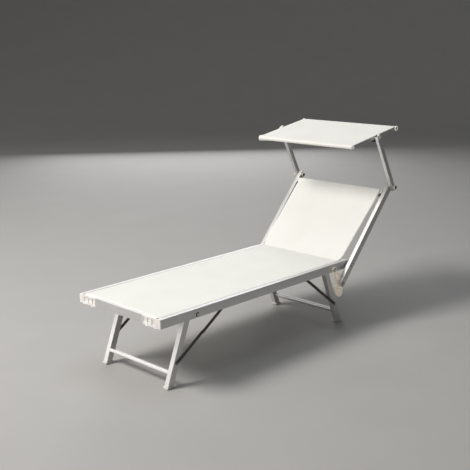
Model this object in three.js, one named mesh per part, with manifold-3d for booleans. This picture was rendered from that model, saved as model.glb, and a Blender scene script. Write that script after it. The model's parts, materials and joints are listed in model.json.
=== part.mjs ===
// A sun lounger with folding legs, a reclining backrest on toothed racks and a tilting canopy.
// Millimetres, +Z up. X runs across the lounger, +Y from the foot end to the head end.
import * as THREE from 'three';
import { mergeVertices } from 'three/addons/utils/BufferGeometryUtils.js';
import Module from 'manifold-3d';

const wasm = await Module();
wasm.setup();

const rad = THREE.MathUtils.degToRad;

// Fits that every piece shares
const clearance = 0.3;
const overrun = 1;
const boltRadius = 4;
const rivetRadius = 3;
const boltHeadRadius = 8;
const boltHeadHeight = 3.5;
const boltNutHeight = 5;
const rivetHeadRadius = 5.5;
const rivetHeadHeight = 2;
const pinSides = 16;
const roundSides = 24;

// Bed frame: two side rails, a bar at the foot, a bar at the head and the sling between them
const bedWidth = 600;
const bedHeight = 374;
const railLength = 1369;
const railWidth = 34;
const railHeight = 44;
const railWall = 2.2;
const rebateWidth = 11;
const rebateDepth = 3;
const slingThickness = 2;
const slingEndGap = 0.5;
const endPlateThickness = 3;
const footBarDepth = 25;
const footBarInset = 1;
const footBarRaise = 2;
const footRebateLength = 8;
const headBarDepth = 28;
const headBarInset = 1;
const barWall = 2;
const tongueLength = 25;
const tongueWall = 3;

// Corner caps at the foot, with a row of pockets and two round lobes below
const cornerCapWidth = 125;
const pocketCount = 3;
const pocketWidth = 22;
const pocketHeight = 24;
const pocketDepth = 3;
const lobeRadius = 16;
const lobeDrop = 5;
const lobePlaceShares = [0.22, 0.72];

// Legs, their cross bars and feet
const frontLegPlace = 226;
const rearLegHeadDistance = 138;
const legPivotDrop = 29;
const legLean = 21;
const legInset = 57;
const legWidth = 26;
const legDepth = 33;
const legWall = 1.8;
const legBarDistance = 298;
const legBarSize = 20;
const footHeight = 14;
const footStandout = 3;
const footChamfer = 4;
const footTongueLength = 25;

// Folding stays: an upper link on the rail and a lower link on the leg
const frontStayRailDistance = 258;
const rearStayRailDistance = 208;
const stayLegDistance = 245;
const stayWidth = 16;
const stayThickness = 3;

// Backrest: two side tubes, a top bar and the sling
const backrestHeadDistance = 20;
const backrestPivotDrop = 23;
const backrestAngle = 48;
const backrestGap = 11;
const backTubeWidth = 24;
const backTubeDepth = 35;
const backTubeWall = 1.8;
const backTubeTop = 532;
const tailEnd = 10;
const topBarTop = 485;
const topBarHeight = 34;
const topBarDepth = 26;
const topBarForward = 18;
const hemInset = 13;
const backSlingInset = 23;
const backSlingFootInset = 4;
const backSlingFootHeight = 80;
const foldForward = 46.7;
const foldDrop = 12.4;

// Racks: slotted plates outside the rails, hung on the rear leg bolts, that hold the tail pins
const rackGap = 2;
const rackThickness = 6.5;
const rackHeadRadius = 14;
const rackLength = 170;
const slotStart = 27;
const slotEnd = 145;
const notchStart = 76;
const notchCount = 5;
const notchDepth = 7;

// The rack's edge below its head: how far to the side and how far down, as shares of its length
const rackEdgeSteps = 36;
const rackEdgeShares = [
  [-0.075, 0.17],
  [-0.075, 0.3],
  [-0.13, 0.4],
  [-0.2, 0.48],
  [-0.25, 0.58],
  [-0.27, 0.7],
  [-0.26, 0.82],
  [-0.22, 0.92],
  [-0.16, 0.98],
  [-0.085, 1],
  [0.005, 0.96],
  [0.055, 0.88],
  [0.075, 0.78],
  [0.176, 0.59],
  [0.188, 0.376],
  [0.095, 0.176],
];

// Canopy: two arms on the backrest and a fabric panel on a frame of two bars and two tubes
const armPlace = 520;
const armAngle = 117.3;
const armGap = 1;
const armWidth = 20;
const armDepth = 28;
const armWall = 1.6;
const armLength = 331;
const armBottomEnd = 15;
const armTopEnd = 13;
const canopyAngle = 9.6;
const canopyGap = 3.5;
const canopyBarWidth = 16;
const canopyBarHeight = 17;
const canopyFront = 205;
const canopyBack = 194;
const canopyTubeRadius = 9;
const canopyTubeWall = 1.5;
const canopyThickness = 1.8;
const canopyOverhang = 2;

// Clamping knobs at both ends of the arms
const knobRadius = 12;
const knobHeight = 14;
const knobChamfer = 2.5;
const knobNutRadius = 11;
const knobNutHeight = 10;
const innerKnobRadius = 8.7;
const innerKnobHeight = 15;

// Places that follow from the sizes above
const halfWidth = bedWidth / 2;
const railInner = halfWidth - railWidth;
const railBottom = bedHeight - railHeight;
const rebateTop = bedHeight - rebateDepth;
const railStart = endPlateThickness;
const railEnd = railStart + railLength;
const rearLegPlace = railEnd - rearLegHeadDistance;
const backrestPlace = railEnd - backrestHeadDistance;
const slingEnd = backrestPlace - Math.hypot(foldForward, foldDrop) - slingEndGap;
const footBarHalf = halfWidth - cornerCapWidth;
const footBarBack = footBarInset + footBarDepth;
const legPivotHeight = bedHeight - legPivotDrop;
const legOuter = halfWidth - legInset;
const legInner = legOuter - legWidth;
const lowerStayInner = legOuter + clearance;
const lowerStayOuter = lowerStayInner + stayThickness;
const upperStayInner = lowerStayOuter + clearance;
const upperStayOuter = upperStayInner + stayThickness;
const rackInner = halfWidth + rackGap;
const rackOuter = rackInner + rackThickness;
const backTubeInner = halfWidth + backrestGap;
const backTubeOuter = backTubeInner + backTubeWidth;
const hemHalfWidth = backTubeInner - hemInset;
const backSlingHalfWidth = backTubeInner - backSlingInset;
const backSlingFootHalfWidth = railInner - backSlingFootInset;
const backrestHeight = bedHeight - backrestPivotDrop;
const armInner = backTubeOuter + armGap;
const armOuter = armInner + armWidth;
const canopyBarOuter = armInner - canopyGap;
const canopyBarInner = canopyBarOuter - canopyBarWidth;
const sleeveInnerRadius = canopyTubeRadius + clearance;
const sleeveOuterRadius = sleeveInnerRadius + canopyThickness;
const canopyHalfWidth = canopyBarOuter + canopyOverhang;
const tailLength = Math.hypot(backrestPlace - rearLegPlace, backrestHeight - legPivotHeight);

// The place that a length along an angle above +Y reaches
function reach(length, degrees) {
  return { y: length * Math.cos(rad(degrees)), z: length * Math.sin(rad(degrees)) };
}

const armFoot = reach(armPlace, backrestAngle);
const armHead = reach(armLength, armAngle);
const canopyTail = reach(canopyBack, canopyAngle);
const headReach = backrestPlace + armFoot.y + armHead.y + canopyTail.y + sleeveOuterRadius;

// Finishes

const finishes = {
  aluminium: { color: 0xc9ccca, roughness: 0.42, metalness: 0.85 },
  fabric: { color: 0xefeeea, roughness: 0.9, metalness: 0 },
  whitePlastic: { color: 0xe6dfd6, roughness: 0.5, metalness: 0 },
  creamPlastic: { color: 0xd8cfb8, roughness: 0.5, metalness: 0 },
  darkSteel: { color: 0x3a3c3e, roughness: 0.5, metalness: 0.8 },
  steel: { color: 0x9c9ea0, roughness: 0.35, metalness: 1 },
  darkPlastic: { color: 0x2c2e2b, roughness: 0.6, metalness: 0 },
  greyPlastic: { color: 0xc4c3bd, roughness: 0.6, metalness: 0 },
};

// Solids: joining, cutting and mirroring

function toSolid(geometry) {
  const bare = geometry.clone();
  bare.deleteAttribute('normal');
  bare.deleteAttribute('uv');
  const merged = mergeVertices(bare);
  const vertProperties = merged.attributes.position.array;
  const triVerts = Uint32Array.from(merged.index.array);
  return new wasm.Manifold(new wasm.Mesh({ numProp: 3, vertProperties, triVerts }));
}

function toGeometry(solid) {
  const mesh = solid.getMesh();
  const geometry = new THREE.BufferGeometry();
  geometry.setAttribute('position', new THREE.BufferAttribute(mesh.vertProperties, 3));
  geometry.setIndex(new THREE.BufferAttribute(mesh.triVerts, 1));
  geometry.computeVertexNormals();
  return geometry;
}

function cut(body, ...tools) {
  let solid = toSolid(body);
  for (const tool of tools) {
    solid = solid.subtract(toSolid(tool));
  }
  return toGeometry(solid);
}

function join(first, ...others) {
  let solid = toSolid(first);
  for (const other of others) {
    solid = solid.add(toSolid(other));
  }
  return toGeometry(solid);
}

// The same solid on the other side of the lounger's middle plane
function mirrored(geometry) {
  const flipped = geometry.index ? geometry.toNonIndexed() : geometry.clone();
  flipped.scale(-1, 1, 1);
  const places = flipped.attributes.position;
  const second = new THREE.Vector3();
  const third = new THREE.Vector3();
  for (let i = 0; i < places.count; i += 3) {
    second.fromBufferAttribute(places, i + 1);
    third.fromBufferAttribute(places, i + 2);
    places.setXYZ(i + 1, third.x, third.y, third.z);
    places.setXYZ(i + 2, second.x, second.y, second.z);
  }
  flipped.computeVertexNormals();
  return flipped;
}

// Basic bodies

function block(x0, x1, y0, y1, z0, z1) {
  const geometry = new THREE.BoxGeometry(x1 - x0, y1 - y0, z1 - z0);
  return geometry.translate((x0 + x1) / 2, (y0 + y1) / 2, (z0 + z1) / 2);
}

// A round pin across the lounger, from x0 to x1, on a centre at y, z
function crossPin(radius, x0, x1, y, z) {
  const geometry = new THREE.CylinderGeometry(radius, radius, x1 - x0, pinSides);
  return geometry.rotateZ(-Math.PI / 2).translate((x0 + x1) / 2, y, z);
}

// A pin across the lounger turned to several radii, given as [radius, x] points from low to high x
function turnedPin(stations) {
  const profile = [new THREE.Vector2(0, stations[0][1])];
  for (const [radius, x] of stations) {
    profile.push(new THREE.Vector2(radius, x));
  }
  profile.push(new THREE.Vector2(0, stations[stations.length - 1][1]));
  return new THREE.LatheGeometry(profile, pinSides).rotateZ(-Math.PI / 2);
}

// An outline in the plane of Y and Z, drawn out across the lounger from x0 to x1
function acrossBody(outline, x0, x1) {
  const geometry = new THREE.ExtrudeGeometry(outline, {
    depth: x1 - x0,
    bevelEnabled: false,
    curveSegments: roundSides / 2,
  });
  const turn = new THREE.Matrix4().makeBasis(
    new THREE.Vector3(0, 1, 0),
    new THREE.Vector3(0, 0, 1),
    new THREE.Vector3(1, 0, 0),
  );
  return geometry.applyMatrix4(turn).translate(x0, 0, 0);
}

// An outline in the plane of X and Z, drawn out along the lounger from y0 to y1
function lengthwiseBody(outline, y0, y1) {
  const geometry = new THREE.ExtrudeGeometry(outline, {
    depth: y1 - y0,
    bevelEnabled: false,
    curveSegments: roundSides / 2,
  });
  return geometry.rotateX(Math.PI / 2).translate(0, y1, 0);
}

function outlineOf(points) {
  return new THREE.Shape(points.map(([u, v]) => new THREE.Vector2(u, v)));
}

function rectangle(u0, u1, v0, v1) {
  return [[u0, v0], [u1, v0], [u1, v1], [u0, v1]];
}

// A rectangle with a smaller one inside it, for a tube's section
function tubeOutline(u0, u1, v0, v1, wall) {
  const outline = outlineOf(rectangle(u0, u1, v0, v1));
  const bore = rectangle(u0 + wall, u1 - wall, v0 + wall, v1 - wall);
  outline.holes.push(new THREE.Path(bore.map(([u, v]) => new THREE.Vector2(u, v))));
  return outline;
}

// Adding named pieces to their groups

function addPiece(group, name, geometry, finish) {
  const mesh = new THREE.Mesh(geometry, new THREE.MeshStandardMaterial(finish));
  mesh.name = name;
  group.add(mesh);
}

// A right and a left copy. In a group that faces the foot end, the sides change places.
function addPair(group, name, geometry, finish, turned = false) {
  addPiece(group, `${name}_${turned ? 'left' : 'right'}`, geometry, finish);
  addPiece(group, `${name}_${turned ? 'right' : 'left'}`, mirrored(geometry), finish);
}

// Bed frame

function railBody() {
  const outline = outlineOf([
    [railInner, railBottom],
    [halfWidth, railBottom],
    [halfWidth, bedHeight],
    [railInner + rebateWidth, bedHeight],
    [railInner + rebateWidth, rebateTop],
    [railInner, rebateTop],
  ]);
  const bore = rectangle(
    railInner + railWall,
    halfWidth - railWall,
    railBottom + railWall,
    rebateTop - railWall,
  );
  outline.holes.push(new THREE.Path(bore.map(([u, v]) => new THREE.Vector2(u, v))));
  const x0 = railInner - overrun;
  const x1 = halfWidth + overrun;
  const wallEnd = railInner + railWall + overrun;
  const boltHole = boltRadius + clearance;
  const rivetHole = rivetRadius + clearance;
  const frontStayPlace = frontLegPlace + frontStayRailDistance;
  const rearStayPlace = rearLegPlace - rearStayRailDistance;
  return cut(
    lengthwiseBody(outline, railStart, railEnd),
    crossPin(boltHole, x0, x1, frontLegPlace, legPivotHeight),
    crossPin(boltHole, x0, x1, rearLegPlace, legPivotHeight),
    crossPin(boltHole, x0, x1, backrestPlace, backrestHeight),
    crossPin(rivetHole, x0, wallEnd, frontStayPlace, legPivotHeight),
    crossPin(rivetHole, x0, wallEnd, rearStayPlace, legPivotHeight),
  );
}

// The foot bar's section: a raised front and a low step behind that takes the sling
function footBarPoints() {
  const bottom = railBottom + footBarRaise;
  const stepStart = footBarBack - footRebateLength;
  return [
    [footBarInset, bottom],
    [footBarBack, bottom],
    [footBarBack, rebateTop],
    [stepStart, rebateTop],
    [stepStart, bedHeight],
    [footBarInset, bedHeight],
  ];
}

function footBarBore(margin) {
  return [
    footBarInset + barWall + margin,
    footBarBack - barWall - margin,
    railBottom + footBarRaise + barWall + margin,
    rebateTop - barWall - margin,
  ];
}

function footBarBody() {
  const outline = outlineOf(footBarPoints());
  const bore = rectangle(...footBarBore(0));
  outline.holes.push(new THREE.Path(bore.map(([u, v]) => new THREE.Vector2(u, v))));
  return acrossBody(outline, -footBarHalf, footBarHalf);
}

// A corner cap joins the rail to the foot bar: a tongue in each, pockets and lobes in front
function cornerCapBody() {
  const capStart = footBarHalf + clearance;
  const capEnd = railInner - clearance;
  const tongueReach = tongueLength + clearance;
  const barTongue = acrossBody(
    outlineOf(rectangle(...footBarBore(clearance))),
    capStart - tongueReach,
    capStart + overrun,
  );
  const railTongue = block(
    railInner + railWall + clearance,
    halfWidth - railWall - clearance,
    endPlateThickness - overrun,
    endPlateThickness + tongueLength,
    railBottom + railWall + clearance,
    rebateTop - railWall - clearance,
  );
  const plateBack = endPlateThickness - clearance;
  const plate = block(capStart, halfWidth, 0, plateBack, railBottom, bedHeight);
  const corner = acrossBody(outlineOf(footBarPoints()), capStart, capEnd);
  const lobes = [];
  for (const share of lobePlaceShares) {
    const place = capStart + (halfWidth - capStart) * share;
    const depth = place + lobeRadius < capEnd ? footBarBack : plateBack;
    const lobe = new THREE.CylinderGeometry(lobeRadius, lobeRadius, depth, roundSides);
    lobes.push(lobe.translate(place, depth / 2, railBottom - lobeDrop + lobeRadius));
  }
  const pitch = (capEnd - capStart) / pocketCount;
  const pocketMiddle = (railBottom + footBarRaise + bedHeight) / 2;
  const pockets = [];
  for (let i = 0; i < pocketCount; i += 1) {
    const middle = capStart + pitch * (i + 0.5);
    pockets.push(block(
      middle - pocketWidth / 2,
      middle + pocketWidth / 2,
      -overrun,
      pocketDepth,
      pocketMiddle - pocketHeight / 2,
      pocketMiddle + pocketHeight / 2,
    ));
  }
  return cut(join(corner, plate, barTongue, railTongue, ...lobes), ...pockets);
}

// The plug in a rail's open end at the head
function railPlugBody() {
  const plate = block(
    railInner,
    halfWidth,
    railEnd + clearance,
    railEnd + endPlateThickness,
    railBottom,
    rebateTop,
  );
  const tongue = block(
    railInner + railWall + clearance,
    halfWidth - railWall - clearance,
    railEnd + clearance - tongueWall,
    railEnd + endPlateThickness - clearance,
    railBottom + railWall + clearance,
    rebateTop - railWall - clearance,
  );
  return join(plate, tongue);
}

function headBarBody() {
  const y1 = railEnd - headBarInset;
  const outline = tubeOutline(y1 - headBarDepth, y1, railBottom + footBarRaise, rebateTop, barWall);
  return acrossBody(outline, clearance - railInner, railInner - clearance);
}

function bedSlingBody() {
  const edge = railInner + rebateWidth - clearance;
  const start = footBarBack - footRebateLength + clearance;
  const low = rebateTop + clearance;
  return block(-edge, edge, start, slingEnd, low, low + slingThickness);
}

// A bolt on which a leg turns, with the bush that keeps the leg off the rail, and its nut.
// The rear ones carry a rack outside the rail too, on a washer.
function legBoltBody(holdsRack) {
  const nutOuter = legInner - clearance;
  const nutInner = nutOuter - boltNutHeight;
  const bushInner = legOuter + clearance;
  const bushOuter = railInner - clearance;
  const headInner = (holdsRack ? rackOuter : halfWidth) + clearance;
  const headOuter = headInner + boltHeadHeight;
  const stations = [
    [boltHeadRadius, nutInner],
    [boltHeadRadius, nutOuter],
    [boltRadius, nutOuter],
    [boltRadius, bushInner],
    [boltHeadRadius, bushInner],
    [boltHeadRadius, bushOuter],
    [boltRadius, bushOuter],
  ];
  if (holdsRack) {
    stations.push(
      [boltRadius, halfWidth + clearance],
      [boltHeadRadius, halfWidth + clearance],
      [boltHeadRadius, rackInner - clearance],
      [boltRadius, rackInner - clearance],
    );
  }
  stations.push(
    [boltRadius, headInner],
    [boltHeadRadius, headInner],
    [boltHeadRadius, headOuter],
  );
  return turnedPin(stations);
}

// The bolt on which the backrest turns: its bush fills the gap beside the rail
function backrestBoltBody() {
  const nutOuter = railInner + railWall + boltNutHeight + clearance;
  const nutInner = railInner + railWall + clearance;
  const bushInner = halfWidth + clearance;
  const bushOuter = backTubeInner - clearance;
  const headInner = backTubeOuter + clearance;
  return turnedPin([
    [boltHeadRadius, nutInner],
    [boltHeadRadius, nutOuter],
    [boltRadius, nutOuter],
    [boltRadius, bushInner],
    [boltHeadRadius, bushInner],
    [boltHeadRadius, bushOuter],
    [boltRadius, bushOuter],
    [boltRadius, headInner],
    [boltHeadRadius, headInner],
    [boltHeadRadius, headInner + boltHeadHeight],
  ]);
}

function addBedFrame(lounger) {
  const { aluminium, whitePlastic, greyPlastic, fabric, steel } = finishes;
  addPair(lounger, 'rail', railBody(), aluminium);
  addPiece(lounger, 'foot_bar', footBarBody(), aluminium);
  addPiece(lounger, 'head_bar', headBarBody(), aluminium);
  addPair(lounger, 'corner_cap', cornerCapBody(), whitePlastic);
  addPair(lounger, 'rail_plug', railPlugBody(), greyPlastic);
  addPiece(lounger, 'bed_sling', bedSlingBody(), fabric);
  const pivots = new THREE.Group();
  pivots.position.set(0, backrestPlace, backrestHeight);
  addPair(pivots, 'backrest_bolt', backrestBoltBody(), steel);
  lounger.add(pivots);
}

// Legs. Their group's origin is the leg pivot, and its +Y points to the middle of the bed.

// How far along the leg a level above the floor lies, for a point at y across the leg
function levelAt(y, height) {
  return (height - legPivotHeight + y * Math.sin(rad(legLean))) / Math.cos(rad(legLean));
}

function legBody() {
  const half = legDepth / 2;
  const outline = new THREE.Shape();
  outline.moveTo(-half, levelAt(-half, footHeight));
  outline.lineTo(half, levelAt(half, footHeight));
  outline.lineTo(half, 0);
  outline.absarc(0, 0, half, 0, Math.PI, false);
  outline.closePath();
  const bore = block(
    legInner + legWall,
    legOuter - legWall,
    legWall - half,
    half - legWall,
    levelAt(-half, footHeight) - overrun,
    0,
  );
  const x0 = legInner - overrun;
  const x1 = legOuter + overrun;
  const pinHole = crossPin(boltRadius + clearance, x0, x1, 0, 0);
  const stayHole = crossPin(rivetRadius + clearance, x0, x1, 0, -stayLegDistance);
  return cut(acrossBody(outline, legInner, legOuter), bore, pinHole, stayHole);
}

// The plug in a leg's end: a sole level with the floor and a tongue inside the tube
function footBody() {
  const half = legDepth / 2 + footStandout;
  const top = footHeight - clearance;
  const soleHalf = half - footChamfer;
  const tongueHalf = legDepth / 2 - legWall - clearance;
  const flange = outlineOf([
    [-soleHalf, levelAt(-soleHalf, 0)],
    [soleHalf, levelAt(soleHalf, 0)],
    [half, levelAt(half, footChamfer)],
    [half, levelAt(half, top)],
    [-half, levelAt(-half, top)],
    [-half, levelAt(-half, footChamfer)],
  ]);
  const tongue = outlineOf([
    [-tongueHalf, levelAt(-tongueHalf, top - overrun)],
    [tongueHalf, levelAt(tongueHalf, top - overrun)],
    [tongueHalf, levelAt(0, top) + footTongueLength],
    [-tongueHalf, levelAt(0, top) + footTongueLength],
  ]);
  const tongueInset = legWall + clearance;
  return join(
    acrossBody(flange, legInner - footStandout, legOuter + footStandout),
    acrossBody(tongue, legInner + tongueInset, legOuter - tongueInset),
  );
}

// The bar between two legs lies level with their outer faces
function legBarBody() {
  const front = -legDepth / 2;
  const low = -legBarDistance - legBarSize / 2;
  const outline = tubeOutline(front, front + legBarSize, low, low + legBarSize, legWall);
  return acrossBody(outline, clearance - legInner, legInner - clearance);
}

// A flat link with round ends, hanging down from its own top hole
function stayBody(length, x0, x1, lowerHoleRadius) {
  const half = stayWidth / 2;
  const outline = new THREE.Shape();
  outline.absarc(0, 0, half, 0, Math.PI, false);
  outline.absarc(0, -length, half, Math.PI, 2 * Math.PI, false);
  outline.closePath();
  return cut(
    acrossBody(outline, x0, x1),
    crossPin(rivetRadius + clearance, x0 - overrun, x1 + overrun, 0, 0),
    crossPin(lowerHoleRadius, x0 - overrun, x1 + overrun, 0, -length),
  );
}

// A knee rivet's head stands on the upper link, which it belongs to
function upperStayBody(length) {
  const head = crossPin(
    rivetHeadRadius,
    upperStayInner + clearance,
    upperStayOuter + rivetHeadHeight,
    0,
    -length,
  );
  return join(stayBody(length, upperStayInner, upperStayOuter, rivetRadius), head);
}

// The rivet that holds an upper link on the rail, with its distance bush. Its inner end is level
// with the link, because the folded lower link passes over it.
function railRivetBody() {
  return turnedPin([
    [rivetRadius, upperStayInner],
    [rivetRadius, upperStayOuter + clearance],
    [rivetHeadRadius, upperStayOuter + clearance],
    [rivetHeadRadius, railInner - clearance],
    [rivetRadius, railInner - clearance],
    [rivetRadius, railInner + railWall + clearance],
    [rivetHeadRadius, railInner + railWall + clearance],
    [rivetHeadRadius, railInner + railWall + clearance + rivetHeadHeight],
  ]);
}

// The rivet through a leg that holds the lower link. The front ones end level with the link,
// because the folded upper link passes over them.
function legRivetBody(headed) {
  const stations = [
    [rivetHeadRadius, legInner - clearance - rivetHeadHeight],
    [rivetHeadRadius, legInner - clearance],
    [rivetRadius, legInner - clearance],
  ];
  if (headed) {
    stations.push(
      [rivetRadius, lowerStayOuter + clearance],
      [rivetHeadRadius, lowerStayOuter + clearance],
      [rivetHeadRadius, lowerStayOuter + clearance + rivetHeadHeight],
    );
  } else {
    stations.push([rivetRadius, lowerStayOuter]);
  }
  return turnedPin(stations);
}

// Both links lie in line between the rail and the leg when the leg stands. Folded, they lie on
// each other along the rail, so their lengths differ as their distances from the pivot do.
function stayLine(railDistance) {
  const y = -stayLegDistance * Math.sin(rad(legLean)) - railDistance;
  const z = -stayLegDistance * Math.cos(rad(legLean));
  const span = Math.hypot(y, z);
  const upper = (span + railDistance - stayLegDistance) / 2;
  return { y, z, upper, lower: span - upper, turn: Math.atan2(y, -z) };
}

function addLegs(lounger, end, place, stayRailDistance) {
  const turned = end === 'rear';
  const { aluminium, greyPlastic, steel, darkSteel } = finishes;
  const station = new THREE.Group();
  station.position.set(0, place, legPivotHeight);
  station.rotation.z = turned ? Math.PI : 0;
  lounger.add(station);
  addPair(station, `${end}_leg_bolt`, legBoltBody(turned), steel, turned);

  const legs = new THREE.Group();
  legs.rotation.x = -rad(legLean);
  station.add(legs);
  addPair(legs, `${end}_leg`, legBody(), aluminium, turned);
  addPiece(legs, `${end}_leg_bar`, legBarBody(), aluminium);
  addPair(legs, `${end}_foot`, footBody(), greyPlastic, turned);

  const line = stayLine(stayRailDistance);
  const railEndOfStay = new THREE.Group();
  railEndOfStay.position.set(0, stayRailDistance, 0);
  railEndOfStay.rotation.x = line.turn;
  station.add(railEndOfStay);
  addPair(railEndOfStay, `${end}_rail_rivet`, railRivetBody(), steel, turned);
  addPair(railEndOfStay, `${end}_upper_stay`, upperStayBody(line.upper), darkSteel, turned);

  const legEndOfStay = new THREE.Group();
  legEndOfStay.position.set(0, stayRailDistance + line.y, line.z);
  legEndOfStay.rotation.x = line.turn + Math.PI;
  station.add(legEndOfStay);
  const lowerStay = stayBody(line.lower, lowerStayInner, lowerStayOuter, rivetRadius + clearance);
  addPair(legEndOfStay, `${end}_lower_stay`, lowerStay, darkSteel, turned);
  addPair(legEndOfStay, `${end}_leg_rivet`, legRivetBody(turned), steel, turned);
}

// Racks

function rackOutline() {
  const edge = [new THREE.Vector2(-rackHeadRadius, 0)];
  for (const [side, down] of rackEdgeShares) {
    edge.push(new THREE.Vector2(side * rackLength, -down * rackLength));
  }
  edge.push(new THREE.Vector2(rackHeadRadius, 0));
  const outline = new THREE.Shape();
  outline.absarc(0, 0, rackHeadRadius, 0, Math.PI, false);
  for (const point of new THREE.SplineCurve(edge).getPoints(rackEdgeSteps).slice(1, -1)) {
    outline.lineTo(point.x, point.y);
  }
  outline.closePath();
  return outline;
}

function rackBody() {
  const x0 = rackInner - overrun;
  const x1 = rackOuter + overrun;
  const lane = boltRadius + clearance;
  const tools = [
    crossPin(lane, x0, x1, 0, 0),
    crossPin(lane, x0, x1, 0, -slotStart),
    crossPin(lane, x0, x1, 0, -slotEnd),
    block(x0, x1, -lane, lane, -slotEnd, -slotStart),
  ];
  const pitch = (slotEnd - notchStart) / (notchCount - 1);
  for (let i = 0; i < notchCount; i += 1) {
    tools.push(crossPin(lane, x0, x1, -notchDepth, -notchStart - pitch * i));
  }
  return cut(acrossBody(rackOutline(), rackInner, rackOuter), ...tools);
}

function addRacks(lounger) {
  const tail = reach(tailLength, backrestAngle + 180);
  const y = backrestPlace + tail.y - rearLegPlace;
  const z = backrestHeight + tail.z - legPivotHeight;
  const racks = new THREE.Group();
  racks.position.set(0, rearLegPlace, legPivotHeight);
  racks.rotation.x = Math.atan2(y, -z);
  addPair(racks, 'rack', rackBody(), finishes.creamPlastic);
  lounger.add(racks);
}

// Backrest. Its group's origin is the pivot, +Z runs up the side tubes and -Y faces the sitter.

function backTubeBody() {
  const half = backTubeDepth / 2;
  const outline = tubeOutline(backTubeInner, backTubeOuter, -half, half, backTubeWall);
  const start = -tailLength - tailEnd;
  const tube = new THREE.ExtrudeGeometry(outline, { depth: backTubeTop - start, bevelEnabled: false });
  const hole = boltRadius + clearance;
  const x0 = backTubeInner - overrun;
  const x1 = backTubeOuter + overrun;
  return cut(
    tube.translate(0, 0, start),
    crossPin(hole, x0, x1, 0, 0),
    crossPin(hole, x0, x1, 0, -tailLength),
    crossPin(hole, x0, x1, 0, armPlace),
  );
}

function topBarBody() {
  const outline = tubeOutline(
    -topBarForward,
    topBarDepth - topBarForward,
    topBarTop - topBarHeight,
    topBarTop,
    barWall,
  );
  return acrossBody(outline, clearance - backTubeInner, backTubeInner - clearance);
}

// The pin from outside a side tube's tail into the rack's lane
function tailPinBody() {
  return turnedPin([
    [boltRadius, rackInner - clearance],
    [boltRadius, backTubeOuter + clearance],
    [boltHeadRadius, backTubeOuter + clearance],
    [boltHeadRadius, backTubeOuter + clearance + boltHeadHeight],
  ]);
}

// The sheet from the fold to the hem, and the hem round the top bar
function backSlingBody() {
  const front = -topBarForward - clearance;
  const back = topBarDepth - topBarForward + clearance;
  const low = topBarTop - topBarHeight - clearance;
  const high = topBarTop + clearance;
  const hemOutline = outlineOf(rectangle(
    front - slingThickness,
    back + slingThickness,
    low - slingThickness,
    high + slingThickness,
  ));
  const bore = rectangle(front, back, low, high);
  hemOutline.holes.push(new THREE.Path(bore.map(([u, v]) => new THREE.Vector2(u, v))));
  const hem = acrossBody(hemOutline, -hemHalfWidth, hemHalfWidth);
  const sheetOutline = outlineOf([
    [-foldForward, -foldDrop],
    [slingThickness - foldForward, -foldDrop],
    [front, low],
    [front - slingThickness, low],
  ]);
  const sheet = acrossBody(sheetOutline, -backSlingHalfWidth, backSlingHalfWidth);
  const corners = [];
  for (const side of [-1, 1]) {
    const inner = side * backSlingFootHalfWidth;
    const outer = side * (backSlingHalfWidth + overrun);
    corners.push(block(
      Math.min(inner, outer),
      Math.max(inner, outer),
      -foldForward - overrun,
      front + overrun,
      -foldDrop - overrun,
      backSlingFootHeight,
    ));
  }
  return join(hem, cut(sheet, ...corners));
}

// Canopy

function armBody() {
  const half = armDepth / 2;
  const outline = tubeOutline(armInner, armOuter, -half, half, armWall);
  const depth = armBottomEnd + armLength + armTopEnd;
  const tube = new THREE.ExtrudeGeometry(outline, { depth, bevelEnabled: false });
  const hole = boltRadius + clearance;
  return cut(
    tube.translate(0, 0, -armBottomEnd),
    crossPin(hole, armInner - overrun, armOuter + overrun, 0, 0),
    crossPin(hole, armInner - overrun, armOuter + overrun, 0, armLength),
  );
}

// The knob outside an arm's foot, its stud through the arm and the side tube, and its end nut
function armKnobBody() {
  const nutOuter = backTubeInner - clearance;
  const gripInner = armOuter + clearance;
  const gripOuter = gripInner + knobHeight;
  return turnedPin([
    [knobNutRadius, nutOuter - knobNutHeight],
    [knobNutRadius, nutOuter],
    [boltRadius, nutOuter],
    [boltRadius, gripInner],
    [knobRadius - knobChamfer, gripInner],
    [knobRadius, gripInner + knobChamfer],
    [knobRadius, gripOuter - knobChamfer],
    [knobRadius - knobChamfer, gripOuter],
  ]);
}

// The knob inside the canopy's side bar, with its stud through the bar and the arm
function canopyKnobBody() {
  const gripOuter = canopyBarInner - clearance;
  const gripInner = gripOuter - innerKnobHeight;
  return turnedPin([
    [innerKnobRadius - knobChamfer, gripInner],
    [innerKnobRadius, gripInner + knobChamfer],
    [innerKnobRadius, gripOuter - knobChamfer],
    [innerKnobRadius - knobChamfer, gripOuter],
    [boltRadius, gripOuter],
    [boltRadius, armOuter],
  ]);
}

function canopyBarBody() {
  const half = canopyBarHeight / 2;
  const outline = tubeOutline(canopyBarInner, canopyBarOuter, -half, half, canopyTubeWall);
  const reachOut = canopyTubeRadius + clearance;
  return cut(
    lengthwiseBody(outline, reachOut - canopyFront, canopyBack - reachOut),
    crossPin(boltRadius + clearance, canopyBarInner - overrun, canopyBarOuter + overrun, 0, 0),
  );
}

function ringOutline(y, outer, inner) {
  const outline = new THREE.Shape();
  outline.absarc(y, 0, outer, 0, 2 * Math.PI, false);
  const bore = new THREE.Path();
  bore.absarc(y, 0, inner, 0, 2 * Math.PI, true);
  outline.holes.push(bore);
  return outline;
}

function canopyTubeBody(y) {
  const outline = ringOutline(y, canopyTubeRadius, canopyTubeRadius - canopyTubeWall);
  return acrossBody(outline, -canopyBarOuter, canopyBarOuter);
}

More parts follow.
